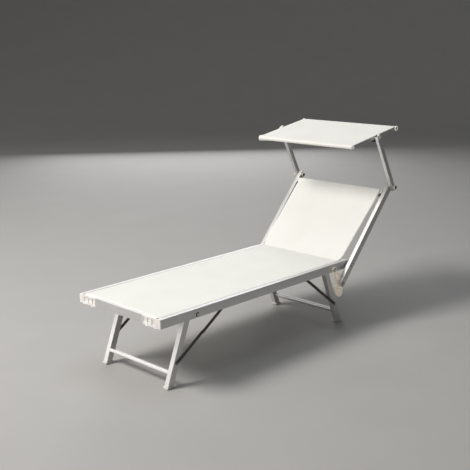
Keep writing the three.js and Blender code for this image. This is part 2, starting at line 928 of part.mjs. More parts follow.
// The fabric panel with a sleeve at each end, open where a side bar meets its tube
function canopyFabricBody() {
  const x0 = -canopyHalfWidth;
  const x1 = canopyHalfWidth;
  const frontSleeve = acrossBody(ringOutline(-canopyFront, sleeveOuterRadius, sleeveInnerRadius), x0, x1);
  const backSleeve = acrossBody(ringOutline(canopyBack, sleeveOuterRadius, sleeveInnerRadius), x0, x1);
  const sheet = block(x0, x1, -canopyFront, canopyBack, sleeveInnerRadius, sleeveOuterRadius);
  const openings = [];
  for (const side of [-1, 1]) {
    const inner = side * (canopyBarInner - clearance);
    const outer = side * (canopyBarOuter + clearance);
    openings.push(block(
      Math.min(inner, outer),
      Math.max(inner, outer),
      -canopyFront,
      canopyBack,
      -sleeveOuterRadius - overrun,
      canopyBarHeight / 2 + clearance,
    ));
  }
  return join(cut(join(frontSleeve, backSleeve), ...openings), sheet);
}

function addBackrest(lounger) {
  const { aluminium, fabric, steel, darkPlastic } = finishes;
  const backrest = new THREE.Group();
  backrest.position.set(0, backrestPlace, backrestHeight);
  backrest.rotation.x = rad(backrestAngle - 90);
  lounger.add(backrest);
  addPair(backrest, 'backrest_tube', backTubeBody(), aluminium);
  addPiece(backrest, 'top_bar', topBarBody(), aluminium);
  addPiece(backrest, 'backrest_sling', backSlingBody(), fabric);
  const tail = new THREE.Group();
  tail.position.set(0, 0, -tailLength);
  addPair(tail, 'tail_pin', tailPinBody(), steel);
  backrest.add(tail);

  const arms = new THREE.Group();
  arms.position.set(0, 0, armPlace);
  arms.rotation.x = rad(armAngle - backrestAngle);
  backrest.add(arms);
  addPair(arms, 'canopy_arm', armBody(), aluminium);
  addPair(arms, 'arm_knob', armKnobBody(), darkPlastic);

  const canopy = new THREE.Group();
  canopy.position.set(0, 0, armLength);
  canopy.rotation.x = rad(canopyAngle + 90 - armAngle);
  arms.add(canopy);
  addPair(canopy, 'canopy_bar', canopyBarBody(), aluminium);
  addPiece(canopy, 'canopy_front_tube', canopyTubeBody(-canopyFront), aluminium);
  addPiece(canopy, 'canopy_back_tube', canopyTubeBody(canopyBack), aluminium);
  addPiece(canopy, 'canopy_fabric', canopyFabricBody(), fabric);
  addPair(canopy, 'canopy_knob', canopyKnobBody(), darkPlastic);
}

const lounger = new THREE.Group();
lounger.position.y = -headReach / 2;
addBedFrame(lounger);
addLegs(lounger, 'front', frontLegPlace, frontStayRailDistance);
addLegs(lounger, 'rear', rearLegPlace, rearStayRailDistance);
addRacks(lounger);
addBackrest(lounger);

export default lounger;
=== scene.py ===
# %% [markdown]
# # A sun lounger with a canopy
# A folding lounger is a frame of drawn aluminium tube with a sheet of coated mesh stretched in it.
# The CAD model already has every tube, bolt and hinge in its place, so this scene loads it as a
# fixed frame and dresses it. Each piece is built in metres where the real one sits, and then rides
# on the CAD body that carries it, so the joints go on working.

import json
import math

import bmesh
import bpy
import numpy as np
from mathutils import Matrix, Vector

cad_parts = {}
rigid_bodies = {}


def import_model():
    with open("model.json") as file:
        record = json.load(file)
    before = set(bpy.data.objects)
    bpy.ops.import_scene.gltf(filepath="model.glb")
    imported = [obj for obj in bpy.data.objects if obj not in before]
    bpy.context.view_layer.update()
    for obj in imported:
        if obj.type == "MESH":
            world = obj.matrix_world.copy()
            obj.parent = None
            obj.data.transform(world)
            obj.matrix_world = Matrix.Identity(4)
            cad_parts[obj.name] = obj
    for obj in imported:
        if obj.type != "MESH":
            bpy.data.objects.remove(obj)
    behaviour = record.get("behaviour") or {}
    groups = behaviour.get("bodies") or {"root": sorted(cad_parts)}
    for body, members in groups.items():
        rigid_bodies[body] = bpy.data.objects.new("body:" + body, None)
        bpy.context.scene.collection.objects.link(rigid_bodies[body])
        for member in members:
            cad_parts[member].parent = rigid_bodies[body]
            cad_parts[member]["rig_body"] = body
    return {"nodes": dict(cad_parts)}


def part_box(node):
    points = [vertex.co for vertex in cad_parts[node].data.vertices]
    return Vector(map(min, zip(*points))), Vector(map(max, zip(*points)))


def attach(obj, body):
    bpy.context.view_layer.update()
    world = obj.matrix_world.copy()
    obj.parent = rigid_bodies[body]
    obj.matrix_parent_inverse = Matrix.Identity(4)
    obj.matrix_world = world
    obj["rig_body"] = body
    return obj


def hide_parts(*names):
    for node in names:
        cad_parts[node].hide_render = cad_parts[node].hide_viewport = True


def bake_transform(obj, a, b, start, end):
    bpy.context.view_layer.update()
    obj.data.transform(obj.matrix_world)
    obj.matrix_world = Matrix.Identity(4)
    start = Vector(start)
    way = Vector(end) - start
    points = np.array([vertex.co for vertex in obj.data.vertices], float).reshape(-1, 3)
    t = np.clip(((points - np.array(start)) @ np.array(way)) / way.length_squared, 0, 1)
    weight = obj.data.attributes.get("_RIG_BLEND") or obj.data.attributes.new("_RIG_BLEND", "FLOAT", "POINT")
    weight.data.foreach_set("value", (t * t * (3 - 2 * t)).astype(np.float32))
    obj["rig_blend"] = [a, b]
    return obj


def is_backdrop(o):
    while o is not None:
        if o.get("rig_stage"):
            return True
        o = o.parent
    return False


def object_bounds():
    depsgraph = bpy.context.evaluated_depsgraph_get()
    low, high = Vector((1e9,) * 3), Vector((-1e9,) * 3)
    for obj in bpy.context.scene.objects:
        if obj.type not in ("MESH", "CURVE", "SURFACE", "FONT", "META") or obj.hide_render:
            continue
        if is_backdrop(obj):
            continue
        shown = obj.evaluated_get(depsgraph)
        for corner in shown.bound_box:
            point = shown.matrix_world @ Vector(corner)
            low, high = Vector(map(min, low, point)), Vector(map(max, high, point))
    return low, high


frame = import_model()
cad_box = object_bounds()
nodes = frame["nodes"]
carrier = {name: node["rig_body"] for name, node in nodes.items()}


def add_to_scene(name, data):
    thing = bpy.data.objects.new(name, data)
    bpy.context.collection.objects.link(thing)
    return thing


print("CAD box", [[round(v, 4) for v in corner] for corner in cad_box])

# %% [markdown]
# ## The camera
# A photograph is easiest to compare with when the camera stands where the photographer stood. The
# place, the turn and the lens come from fitting a pinhole camera to the lounger's corners. The
# camera looks along its own -Z axis, so it is tipped up from straight down and then turned.

# %% Set the camera
CAMERA_PLACE = (3.073, -3.2193, 1.632)
CAMERA_TURN, CAMERA_DOWN, CAMERA_ROLL = 44.5, 13.6, -0.79
LENS, SENSOR_WIDTH = 66.2, 36.0

camera_data = bpy.data.cameras.new("Camera")
camera_data.lens = LENS
camera_data.sensor_width = SENSOR_WIDTH
camera = add_to_scene("Camera", camera_data)
camera.matrix_world = (
    Matrix.Translation(CAMERA_PLACE)
    @ Matrix.Rotation(math.radians(CAMERA_TURN), 4, "Z")
    @ Matrix.Rotation(math.radians(90 - CAMERA_DOWN), 4, "X")
    @ Matrix.Rotation(math.radians(CAMERA_ROLL), 4, "Z")
)
bpy.context.scene.camera = camera
print("Camera", [round(v, 3) for v in camera.location], "lens", camera_data.lens)

# %% [markdown]
# ## Light
# The light comes from high on the left of the camera, so the faces towards the foot end are bright
# and the outer side of the near rail is in shade. A sun lamp would give the shadows a hard edge.
# One large area light from the same side gives the same light and shade with the soft edges of a
# studio. A second one overhead stands for the sky. Metal shows what it mirrors, so two pale cards
# stand low on the lounger's left: the front of the legs mirrors one of them, and the tops of the
# rails the other. The world fills the shade, so it sets how dark the shaded tubes become.

# %% Light the scene
# Each row holds a place, a target, the size in metres, the power in watts and the colour
LIGHTS = {
    "Key": ((-2.2, -4.6, 5.5), (0, 0, 0.4), 2.6, 500.0, (1.0, 0.97, 0.93)),
    "Sky": ((0.2, 0.6, 6.4), (0, 0, 0.4), 5.0, 100.0, (0.95, 0.98, 1.0)),
    "Front card": ((-4.9, -4.7, 1.6), (0, -0.8, 0.3), 3.0, 72.0, (1.0, 0.98, 0.95)),
    "Back card": ((-5.0, 4.2, 2.4), (0, -0.3, 0.4), 4.0, 110.0, (1.0, 1.0, 1.0)),
}
WORLD_COLOUR, WORLD_STRENGTH = (0.93, 0.96, 1.0, 1), 0.065

for name, (place, target, size, power, colour) in LIGHTS.items():
    data = bpy.data.lights.new(name, "AREA")
    data.size = size
    data.energy = power
    data.color = colour
    light = add_to_scene(name, data)
    light.location = place
    light.rotation_euler = (Vector(target) - Vector(place)).to_track_quat("-Z", "Y").to_euler()
world = bpy.data.worlds.new("Studio")
world.use_nodes = True
background = world.node_tree.nodes["Background"]
background.inputs["Color"].default_value = WORLD_COLOUR
background.inputs["Strength"].default_value = WORLD_STRENGTH
bpy.context.scene.world = world
bpy.context.scene.view_settings.view_transform = "Standard"
print("Lights:", list(LIGHTS), "and a world of", WORLD_STRENGTH)

# %% [markdown]
# ## Writing node trees as Python
# Clicking nodes together is clear on a screen and very long in a script. Two small classes make it
# short. `Tree` adds a node from its type, its settings and what goes into its sockets. `Socket`
# stands for one output and knows Python's operators, so `1 - mask` adds the Math node for it. The
# same two classes build the materials and the Geometry Nodes.

# %% A tree and its sockets
class Socket:
    """One output of a node, on which maths can be written with Python's operators"""

    def __init__(self, tree, output):
        self.tree = tree
        self.output = output

    def __add__(self, other):
        return self.tree.maths("ADD", self, other)

    def __sub__(self, other):
        return self.tree.maths("SUBTRACT", self, other)

    def __rsub__(self, other):
        return self.tree.maths("SUBTRACT", other, self)

    def __mul__(self, other):
        return self.tree.maths("MULTIPLY", self, other)

    def __pow__(self, other):
        return self.tree.maths("POWER", self, other)

    def sine(self):
        return self.tree.maths("SINE", self)

    def cosine(self):
        return self.tree.maths("COSINE", self)

    __radd__ = __add__


class Tree:
    """Adds nodes to a shader tree or a geometry tree"""

    def __init__(self, tree):
        self.tree = tree

    def add(self, kind, settings=None, output=0, sockets=None, **named):
        """Adds a node and fills its sockets. A named one is written with _ for a space"""
        node = self.tree.nodes.new(kind)
        for name, value in (settings or {}).items():
            setattr(node, name, value)
        named = {name.replace("_", " "): value for name, value in named.items()}
        for name, value in {**(sockets or {}), **named}.items():
            if isinstance(value, Socket):
                self.tree.links.new(value.output, node.inputs[name])
            else:
                node.inputs[name].default_value = value
        return Socket(self, node.outputs[output]) if node.outputs else None

    def maths(self, operation, *values):
        """One Math node on numbers and sockets"""
        sockets = dict(enumerate(values))
        return self.add("ShaderNodeMath", {"operation": operation}, sockets=sockets)

    def place(self):
        """Object coordinates, which move with the piece"""
        return self.add("ShaderNodeTexCoord", output="Object")

    def attribute(self, name):
        """A number that is stored on the mesh"""
        return self.add("ShaderNodeAttribute", {"attribute_name": name}, output="Fac")

    def part(self, vector, axis):
        """One coordinate of a vector"""
        return self.add("ShaderNodeSeparateXYZ", output=axis, Vector=vector)

    def mix(self, factor, first, second):
        """A colour between two colours"""
        return self.add("ShaderNodeMix", {"data_type": "RGBA"}, 2, {0: factor, 6: first, 7: second})

    def step(self, value, low, high):
        """0 below low, 1 above high and smooth between them"""
        smooth = {"interpolation_type": "SMOOTHSTEP"}
        return self.add("ShaderNodeMapRange", smooth, Value=value, From_Min=low, From_Max=high)

    def noise(self, place, scale, detail):
        """Noise at a place, from 0 to 1, with that many lumps to a metre"""
        return self.add("ShaderNodeTexNoise", Vector=place, Scale=scale, Detail=detail)

    def bump(self, height, distance, strength):
        """A surface normal from a height of 0 to 1 over a distance in metres"""
        return self.add("ShaderNodeBump", Height=height, Distance=distance, Strength=strength)


print("A socket knows + - * ** and the methods sine() and cosine()")

# %% [markdown]
# A finish starts from an empty material with one Principled shader. Numbers that are the same all
# over are set on the shader itself, and only what changes over the surface is linked to it.

# %% Start a finish
def grey(value, warm=0.0):
    """A grey as a colour, a little warmer or cooler than neutral"""
    return (value * (1 + warm), value, value * (1 - warm), 1)


def new_finish(name, surface, constants, *given, **numbers):
    """A material whose Principled shader is fed by the sockets that surface() returns"""
    material = bpy.data.materials.new(name)
    material.use_nodes = True
    material.node_tree.nodes.clear()
    tree = Tree(material.node_tree)
    sockets = {**constants, **surface(tree, *given, **numbers)}
    shader = tree.add("ShaderNodeBsdfPrincipled", sockets=sockets)
    tree.add("ShaderNodeOutputMaterial", Surface=shader)
    finishes[name] = material


def two_tone(tree, first, second, scale, detail, rough, rough_scale, rough_range):
    """Two colours that noise mixes, and a roughness that finer noise varies"""
    place = tree.place()
    base = tree.mix(tree.noise(place, scale, detail), first, second)
    rough = rough + tree.noise(place, rough_scale, 2) * rough_range
    return {"Base Color": base, "Roughness": rough}


finishes = {}
print("A finish is a function that returns the shader's sockets")

# %% [markdown]
# ## Drawn aluminium
# Tube is pulled through a die, which leaves fine lines along it, and is then anodised to a satin
# grey. The lines come from noise that is stretched along the tube. Noise reads Object coordinates,
# so each direction of tube needs its own turn of them. A Mapping node of the Texture kind turns
# the coordinates first and stretches them afterwards, which keeps the lines true to the tube. The
# bevelled edges, marked by the attribute `worn`, are rubbed brighter.

# %% Make the aluminium finishes
LINE_STRETCH = 70.0
METALLIC = 0.85
TILTS = {"rail": 0, "front_leg": 69, "rear_leg": 111, "backrest": 48, "arm": 117.3, "canopy": 9.6}


def drawn_aluminium(tree, turn):
    place = tree.place()
    along = tree.add(
        "ShaderNodeMapping", {"vector_type": "TEXTURE"},
        Vector=place, Rotation=turn, Scale=(1, LINE_STRETCH, 1),
    )
    lines, bands = tree.noise(along, 900, 2), tree.noise(along, 90, 2)
    stains = tree.noise(place, 9, 4)
    spots = tree.step(tree.noise(place, 140, 2), 0.66, 0.74)
    worn = tree.attribute("worn")
    base = tree.mix(stains * 0.7 + bands * 0.3, grey(0.62, 0.01), grey(0.74, 0.004))
    base = tree.mix(spots * 0.25, base, grey(0.54, 0.02))
    base = tree.mix(worn * 0.5, base, grey(0.86, 0.005))
    rough = 0.32 + lines * 0.14 + stains * 0.1 + spots * 0.1 - worn * 0.08
    normal = tree.bump(lines * 0.5 + bands * 0.5, 0.0002, 0.35)
    return {"Base Color": base, "Roughness": rough, "Normal": normal}


turns = {part_name: (math.radians(tilt), 0, 0) for part_name, tilt in TILTS.items()}
turns["across"] = (0, 0, math.radians(-90))
for part_name, turn in turns.items():
    new_finish(f"aluminium_{part_name}", drawn_aluminium, {"Metallic": METALLIC}, turn)
print("Aluminium:", sorted(finishes))

# %% [markdown]
# ## Moulded plastic
# Moulded parts have a fine pebbled skin, and their colour is never quite even: the caps at the
# foot are mottled, and the feet have picked up dust. The pale parts are thin and let some light
# through, the racks and the sleeve rings most of all. A weak glow of their own colour is painted
# light that stands for it, and on the caps at the foot it also lightens the shade in the pockets.
# One recipe with a few numbers serves all of them.

# %% Make the plastics
GRAIN_DEPTH = 0.00012


def moulded(tree, light, dark, mottle_scale):
    place = tree.place()
    mottle = tree.step(tree.noise(place, mottle_scale, 5), 0.35, 0.68)
    grain_height = tree.noise(place, 1800, 2)
    dust = tree.step(tree.noise(place, 45, 3), 0.5, 0.75)
    worn = tree.attribute("worn")
    base = tree.mix(mottle, dark, light)
    base = tree.mix(worn * 0.35, base, light)
    return {
        "Base Color": base,
        # The emission is painted light: a glow of the surface's own colour for light through thin plastic
        "Emission Color": base,
        "Roughness": 0.42 + dust * 0.16 + grain_height * 0.1,
        "Normal": tree.bump(grain_height * 0.7 + dust * 0.3, GRAIN_DEPTH, 0.5),
    }


# Each row holds the light and the dark colour, the mottles to a metre and the painted glow
PLASTICS = {
    "white_plastic": ((0.9, 0.88, 0.855, 1), (0.74, 0.71, 0.68, 1), 45, 0.08),
    "cream_plastic": ((0.95, 0.88, 0.75, 1), (0.72, 0.63, 0.49, 1), 90, 0.25),
    "sleeve_plastic": ((0.9, 0.89, 0.86, 1), (0.82, 0.81, 0.78, 1), 45, 0.3),
    "grey_plastic": ((0.82, 0.8, 0.75, 1), (0.62, 0.6, 0.55, 1), 60, 0.0),
    "dark_plastic": ((0.05, 0.052, 0.048, 1), (0.028, 0.03, 0.028, 1), 80, 0.0),
}
for name, (light, dark, scale, painted_glow) in PLASTICS.items():
    constants = {"Specular IOR Level": 0.45, "Emission Strength": painted_glow}
    new_finish(name, moulded, constants, light, dark, scale)
print("Plastics:", sorted(PLASTICS))

# %% [markdown]
# ## Painted and plated steel
# The stays are strip steel with dark paint that chips at the edges, and the bolts are zinc plated.
# Chips are noise that is lifted near the bevelled edges, so most of them lie there.

# %% Make the steels
def painted_strip(tree):
    place = tree.place()
    chips = tree.step(tree.noise(place, 260, 4) + tree.attribute("worn") * 0.16, 0.66, 0.7)
    dust = tree.noise(place, 30, 4)
    paint = tree.mix(dust, (0.035, 0.031, 0.026, 1), (0.12, 0.105, 0.088, 1))
    base = tree.mix(chips, paint, (0.34, 0.31, 0.28, 1))
    rough = 0.4 + dust * 0.2 - chips * 0.08
    normal = tree.bump(1 - chips, 0.00015, 0.6)
    return {"Base Color": base, "Roughness": rough, "Metallic": chips, "Normal": normal}


def zinc_plate(tree):
    place = tree.place()
    spangle = tree.noise(place, 420, 3)
    tarnish = tree.step(tree.noise(place, 60, 4), 0.45, 0.7)
    base = tree.mix(tarnish, (0.66, 0.67, 0.68, 1), (0.44, 0.43, 0.41, 1))
    rough = 0.26 + spangle * 0.12 + tarnish * 0.15
    return {"Base Color": base, "Roughness": rough, "Normal": tree.bump(spangle, 0.0001, 0.4)}


new_finish("dark_steel", painted_strip, {})
new_finish("steel", zinc_plate, {"Metallic": 1.0})
print("Finishes so far:", len(finishes))

# %% [markdown]
# ## Coated mesh
# The sheet is woven from coated yarn: round warp and weft threads that pass over and under each
# other, with small gaps. The weave must follow the cloth round the fold and the tubes, so it reads
# the sheet's own UV map, which runs in metres of cloth. Threads over and under make a chequered
# height: the product of a wave across and a wave along. The low places between the threads are
# painted darker, as painted shade in the gaps. Along its edges the cloth is doubled for the hem, so
# it is denser there and has less of that painted shade. The attribute `from_edge` holds how far the
# edge is.

# %% Make the cloth
YARN = 0.0022
HEM_BAND, HEM_BLUR = 0.022, 0.001


def coated_mesh(tree, light, shade):
    cloth = tree.add("ShaderNodeUVMap", {"uv_map": "cloth"})
    place = tree.place()
    wave = math.tau / YARN
    over = 0.5 + (tree.part(cloth, "X") * wave).sine() * (tree.part(cloth, "Y") * wave).sine() * 0.5
    hem = 1 - tree.step(tree.attribute("from_edge"), HEM_BAND - HEM_BLUR, HEM_BAND + HEM_BLUR)
    soil = tree.step(tree.noise(place, 6, 5), 0.4, 0.75)
    slub = tree.noise(cloth, 220, 3)
    # Painted shade: the low places of the weave, between the threads, are darkened, less in the hem
    painted_gap_shade = (1 - over) ** 2 * (1 - hem * 0.6)
    base = tree.mix(soil * 0.5 + slub * 0.25, light, shade)
    base = tree.mix(painted_gap_shade * 0.25, base, (0.5, 0.49, 0.46, 1))
    rough = 0.62 + slub * 0.14 - over * 0.06
    normal = tree.bump(over * 0.75 + slub * 0.25, 0.0004, 0.5)
    return {"Base Color": base, "Roughness": rough, "Normal": normal}


SLING_LIGHT, SLING_SHADE = (0.86, 0.865, 0.83, 1), (0.8, 0.805, 0.765, 1)
CANOPY_LIGHT, CANOPY_SHADE = (0.85, 0.85, 0.815, 1), (0.79, 0.79, 0.75, 1)
cloth_constants = {"Sheen Weight": 0.08, "Sheen Roughness": 0.5, "Specular IOR Level": 0.3}
new_finish("sling_cloth", coated_mesh, cloth_constants, SLING_LIGHT, SLING_SHADE)
new_finish("canopy_cloth", coated_mesh, cloth_constants, CANOPY_LIGHT, CANOPY_SHADE)
print("Yarn", YARN * 1000, "mm, hem", HEM_BAND * 1000, "mm")

# %% [markdown]
# ## Dressing the tubes and plates
# A drawn tube has rounded corners and a sawn tube has a small burr-free edge, and both catch the
# light. The CAD solids have sharp edges. Building every tube again would risk putting one in the
# wrong place, so each piece starts as a copy of its CAD node. The copy's loose triangles are
# merged, its flat faces dissolved, and its edges bevelled twice: the long edges with the tube's
# corner radius, then everything that is still sharp with a fine edge. The new faces of a bevel are
# marked, so a finish can rub them brighter.

# %% Copy and soften a CAD node
MM = 0.001
LONG_EDGE = 40 * MM
SAME_POINT = 2e-6
FLAT, SHARP, CREASE = math.radians(0.6), math.radians(35), math.radians(52)
CORNER_ROUNDS = 3


def sharp_edges(mesh, longer_than=0.0):
    return [
        edge
        for edge in mesh.edges
        if len(edge.link_faces) == 2
        and edge.calc_face_angle(0) > SHARP
        and edge.calc_length() > longer_than
    ]


def soften(mesh, edges, width, rounds):
    """Bevels edges and marks the new faces as worn"""
    worn = mesh.faces.layers.float["worn"]
    made = bmesh.ops.bevel(
        mesh, geom=edges, offset=width, offset_type="OFFSET", segments=rounds,
        profile=0.5, affect="EDGES", clamp_overlap=True,
    )
    for face in made["faces"]:
        face[worn] = 1.0


def add_object(name, mesh, finish):
    """A piece from a finished mesh, with its finish in its material slot"""
    piece = add_to_scene(name, mesh)
    mesh.materials.append(finishes[finish])
    return piece


def bevelled_piece(name, mesh, finish):
    """A piece from a bevelled bmesh, with normals that keep its flat faces flat"""
    for face in mesh.faces:
        face.smooth = True
    data = bpy.data.meshes.new(name)
    mesh.to_mesh(data)
    mesh.free()
    piece = add_object(name, data, finish)
    piece.modifiers.new("Flat faces stay flat", "WEIGHTED_NORMAL").keep_sharp = True
    return piece


def dress(names, finish, corner=0.0, edge=0.4, edge_rounds=1):
    """Softened copies of CAD nodes, which ride where the nodes ride and stand for them"""
    for node in names:
        mesh = bmesh.new()
        mesh.from_mesh(nodes[node].data)
        for layer in list(mesh.loops.layers.uv):
            mesh.loops.layers.uv.remove(layer)
        bmesh.ops.remove_doubles(mesh, verts=mesh.verts, dist=SAME_POINT)
        bmesh.ops.dissolve_limit(mesh, angle_limit=FLAT, verts=mesh.verts[:], edges=mesh.edges[:])
        mesh.faces.layers.float.new("worn")
        if corner:
            soften(mesh, sharp_edges(mesh, LONG_EDGE), corner * MM, CORNER_ROUNDS)
        soften(mesh, sharp_edges(mesh), edge * MM, edge_rounds)
        for line in mesh.edges:
            line.smooth = len(line.link_faces) == 2 and line.calc_face_angle(0) < CREASE
        piece = bevelled_piece(f"{node}_dressed", mesh, finish)
        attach(piece, carrier[node])
        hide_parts(node)
        dressed.append(node)


def both(name):
    return [f"{name}_left", f"{name}_right"]


dressed = []
print("Corner radius and edge are given in millimetres")

# %% [markdown]
# ### The bed frame
# Two rails carry the sheet in a rebate along their inner edge, with a bar at the foot and another
# at the head. The corner joints at the foot are thick mouldings with pockets.

# %% Dress the bed frame
dress(both("rail"), "aluminium_rail", corner=1.6)
dress(["foot_bar", "head_bar"], "aluminium_across", corner=1.2)
dress(both("corner_cap"), "white_plastic", corner=1.0, edge=0.7)
dress(both("rail_plug"), "grey_plastic", edge=0.8)
print("Dressed:", len(dressed))

# %% [markdown]
# ### Legs, stays and feet
# Each leg frame is two tubes with round corners and a nearly oval cross bar. The stays are steel
# strip and stay nearly sharp. The feet are soft grey plugs.

# %% Dress the legs
for end in ("front", "rear"):
    dress(both(f"{end}_leg"), f"aluminium_{end}_leg", corner=2.6)
    dress([f"{end}_leg_bar"], "aluminium_across", corner=5.0)
    dress(both(f"{end}_foot"), "grey_plastic", edge=2.4, edge_rounds=3)
    dress(both(f"{end}_upper_stay") + both(f"{end}_lower_stay"), "dark_steel")
print("Dressed:", len(dressed))

# %% [markdown]
# ### Backrest, racks and canopy frame
# The backrest and the canopy are thinner tube of the same metal. The racks are moulded plates
# with rounded edges, and the knobs get their real shape later, so here only their studs matter.

# %% Dress the backrest and the canopy frame
dress(both("backrest_tube"), "aluminium_backrest", corner=2.4)
dress(["top_bar"], "aluminium_across", corner=1.6)
dress(both("rack"), "cream_plastic", edge=0.9)
dress(both("canopy_arm"), "aluminium_arm", corner=2.4)
dress(both("canopy_bar"), "aluminium_canopy", corner=1.4)
dress(["canopy_front_tube", "canopy_back_tube"], "aluminium_across", edge=0.3)
dress(both("arm_knob"), "grey_plastic", edge=0.5)
dress(both("canopy_knob"), "dark_plastic", edge=0.5)
print("Dressed:", len(dressed))

# %% Dress the bolts, rivets and pins
for end in ("front", "rear"):
    for pin in ("leg_bolt", "rail_rivet", "leg_rivet"):
        dress(both(f"{end}_{pin}"), "steel", edge=0.35)
dress(both("backrest_bolt") + both("tail_pin"), "steel", edge=0.35)
print("Still to be replaced by cloth:", sorted(set(nodes) - set(dressed)))

# %% [markdown]
# ## The sling
# The real sheet is one length of coated mesh. It hooks in behind the raised edge of the foot bar,
# lies between the rails with its edges in their rebates, turns up at the fold, and ends in a hem
# round the top bar of the backrest. A grid that is bent along that line gives one continuous
# sheet, which flat panels or a cushion wouldn't. The line is drawn first, as corners in the plane
# of the side view, each with the radius the cloth takes there.

# %% Draw the line that the sling follows
SPACING, ARC_STEP = 0.0125, 12


def side_middle(node):
    """The middle of a node's box, seen from the side"""
    low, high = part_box(node)
    return Vector((0, (low.y + high.y) / 2, (low.z + high.z) / 2))


def turned(place, angle):
    c, s = math.cos(angle), math.sin(angle)
    return np.array([place[0] * c - place[1] * s, place[0] * s + place[1] * c])


PIVOT = side_middle("backrest_bolt_left")
BACKREST_TILT = math.radians(TILTS["backrest"])


def on_backrest(forward, up):
    """The side-view place (y, z) that lies forward of and up from the backrest's pivot"""
    return np.array(PIVOT.yz) + turned((up, forward), BACKREST_TILT)


def straight(start, end):
    """Evenly spaced places from start to end, without start itself"""
    count = max(1, round(np.linalg.norm(end - start) / SPACING))
    return [start + (end - start) * k / count for k in range(1, count + 1)]


def bent_line(corners, radii):
    """Points along straight runs with rounded corners, as an array of side-view places"""
    corners = [np.array(corner, float) for corner in corners]
    line = [corners[0]]
    for before, corner, after, radius in zip(corners, corners[1:], corners[2:], radii):
        into = (corner - before) / np.linalg.norm(corner - before)
        out = (after - corner) / np.linalg.norm(after - corner)
        turn = math.atan2(into[0] * out[1] - into[1] * out[0], into @ out)
        start = corner - into * radius * math.tan(abs(turn) / 2)
        centre = start + np.array([-into[1], into[0]]) * math.copysign(radius, turn)
        count = max(2, math.ceil(abs(math.degrees(turn)) / ARC_STEP))
        line += straight(line[-1], start)
        line += [centre + turned(start - centre, turn * k / count) for k in range(1, count + 1)]
    return np.array(line + straight(line[-1], corners[-1]))


SLING_THICKNESS, SLING_INSET, SLING_LIFT = 1.5 * MM, 0.6 * MM, 1.0 * MM
FOLD_FORWARD, FOLD_UP = 0.0457, -0.0124
HEM_FRONT, HEM_BACK, HEM_LOW, HEM_HIGH = 0.0193, -0.0093, 0.4497, 0.4863
HEM_OVERLAP = 1.4 * MM
FOLD_RADIUS, HEM_MOUTH_RADIUS, HEM_RADIUS = 0.012, 0.02, 0.004

sling_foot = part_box("bed_sling")[0]
sling_height = sling_foot.z + SLING_LIFT
fold = on_backrest(FOLD_FORWARD, FOLD_UP)
fold_corner, hem_corner = (fold[0], sling_height), on_backrest(HEM_FRONT, HEM_LOW)
sling_line = bent_line(
    [
        (sling_foot.y + SLING_INSET, sling_height),
        fold_corner,
        hem_corner,
        on_backrest(HEM_FRONT, HEM_HIGH),
        on_backrest(HEM_BACK, HEM_HIGH),
        on_backrest(HEM_BACK, HEM_LOW),
        on_backrest(HEM_FRONT - HEM_OVERLAP, HEM_LOW),
    ],
    [FOLD_RADIUS, HEM_MOUTH_RADIUS] + [HEM_RADIUS] * 3,
)
print(len(sling_line), "stations, pivot", [round(v, 4) for v in PIVOT])

# %% [markdown]
# Between the rails the sheet hangs a few millimetres, most in the middle, and on the backrest it
# gives backwards in the same way. Its edges lie in the rebates as far as the fold. Above the rails
# there is more room, so the sheet widens at once and then steadily up to the hem. It gets real
# thickness from a second layer of points, and a UV map and an edge distance for its finish.

# %% Weave a sheet along a line
def along_line(line):
    """The length of cloth from the start to each station"""
    return np.concatenate([[0], np.cumsum(np.linalg.norm(np.diff(line, axis=0), axis=1))])


def line_normals(line):
    """The direction at each station that is left of the line, which is its outer side"""
    ahead = np.gradient(line, axis=0)
    ahead /= np.linalg.norm(ahead, axis=1)[:, None]
    return np.stack([-ahead[:, 1], ahead[:, 0]], axis=1)


def sheet_mesh(name, sheet, columns):
    """A closed grid for a sheet, which is (line, half_widths, give, thickness)

    There is a half width at each station, and give(share of it, station) pushes it off its line.
    """
    line, half_widths, give, thickness = sheet
    length, normal = along_line(line), line_normals(line)
    share = np.linspace(-1, 1, columns)
    x = half_widths[:, None] * share
    push = np.array([[give(u, i) for u in share] for i in range(len(line))])
    layers = []
    for side in (thickness / 2, -thickness / 2):
        side_view = line[:, None] + normal[:, None] * (push + side)[:, :, None]
        layers.append(np.dstack([x, side_view]).reshape(-1, 3))
    grid = np.arange(x.size).reshape(x.shape)
    quads = np.dstack([grid[:-1, :-1], grid[:-1, 1:], grid[1:, 1:], grid[1:, :-1]]).reshape(-1, 4)
    rim = np.concatenate([grid[:, 0], grid[-1, 1:], grid[-2::-1, -1], grid[0, -2:0:-1]])
    after = np.roll(rim, -1)
    around = np.stack([rim, after, after + x.size, rim + x.size], axis=1)
    faces = np.concatenate([quads, quads[:, ::-1] + x.size, around])
    mesh = bpy.data.meshes.new(name)
    mesh.from_pydata(np.concatenate(layers).tolist(), [], faces.tolist())
    cloth = np.dstack([x, np.repeat(length[:, None], columns, 1)]).reshape(-1, 2)
    uv = mesh.uv_layers.new(name="cloth")
    uv.data.foreach_set("uv", cloth[faces.ravel() % x.size].ravel())
    from_end = np.minimum(length, length[-1] - length)
    from_edge = np.minimum(half_widths[:, None] - np.abs(x), from_end[:, None]).ravel()
    attribute = mesh.attributes.new("from_edge", "FLOAT", "POINT")
    attribute.data.foreach_set("value", np.concatenate([from_edge, from_edge]).astype(np.float32))
    mesh.shade_smooth()
    return mesh


def belly(run):
    """How freely a sheet sags, from 0 at its ends to 1 along most of its middle"""
    return 1 - (2 * run - 1) ** 4


print("A sheet is a closed grid with UV map 'cloth' and attribute 'from_edge'")

# %% Make the sling
BED_HALF, BACK_HALF, HEM_HALF = 0.2755, 0.288, 0.2975
WIDER_FROM, WIDER_TO = 0.004, 0.035
SLING_COLUMNS = 47
SAG = 0.0055
RIPPLE, RIPPLE_REACH, RIPPLE_WAVES = 0.6 * MM, 0.06, 23
SLACK, SLACK_WAVES, SLACK_SLANT = 0.7 * MM, 9.0, 1.7

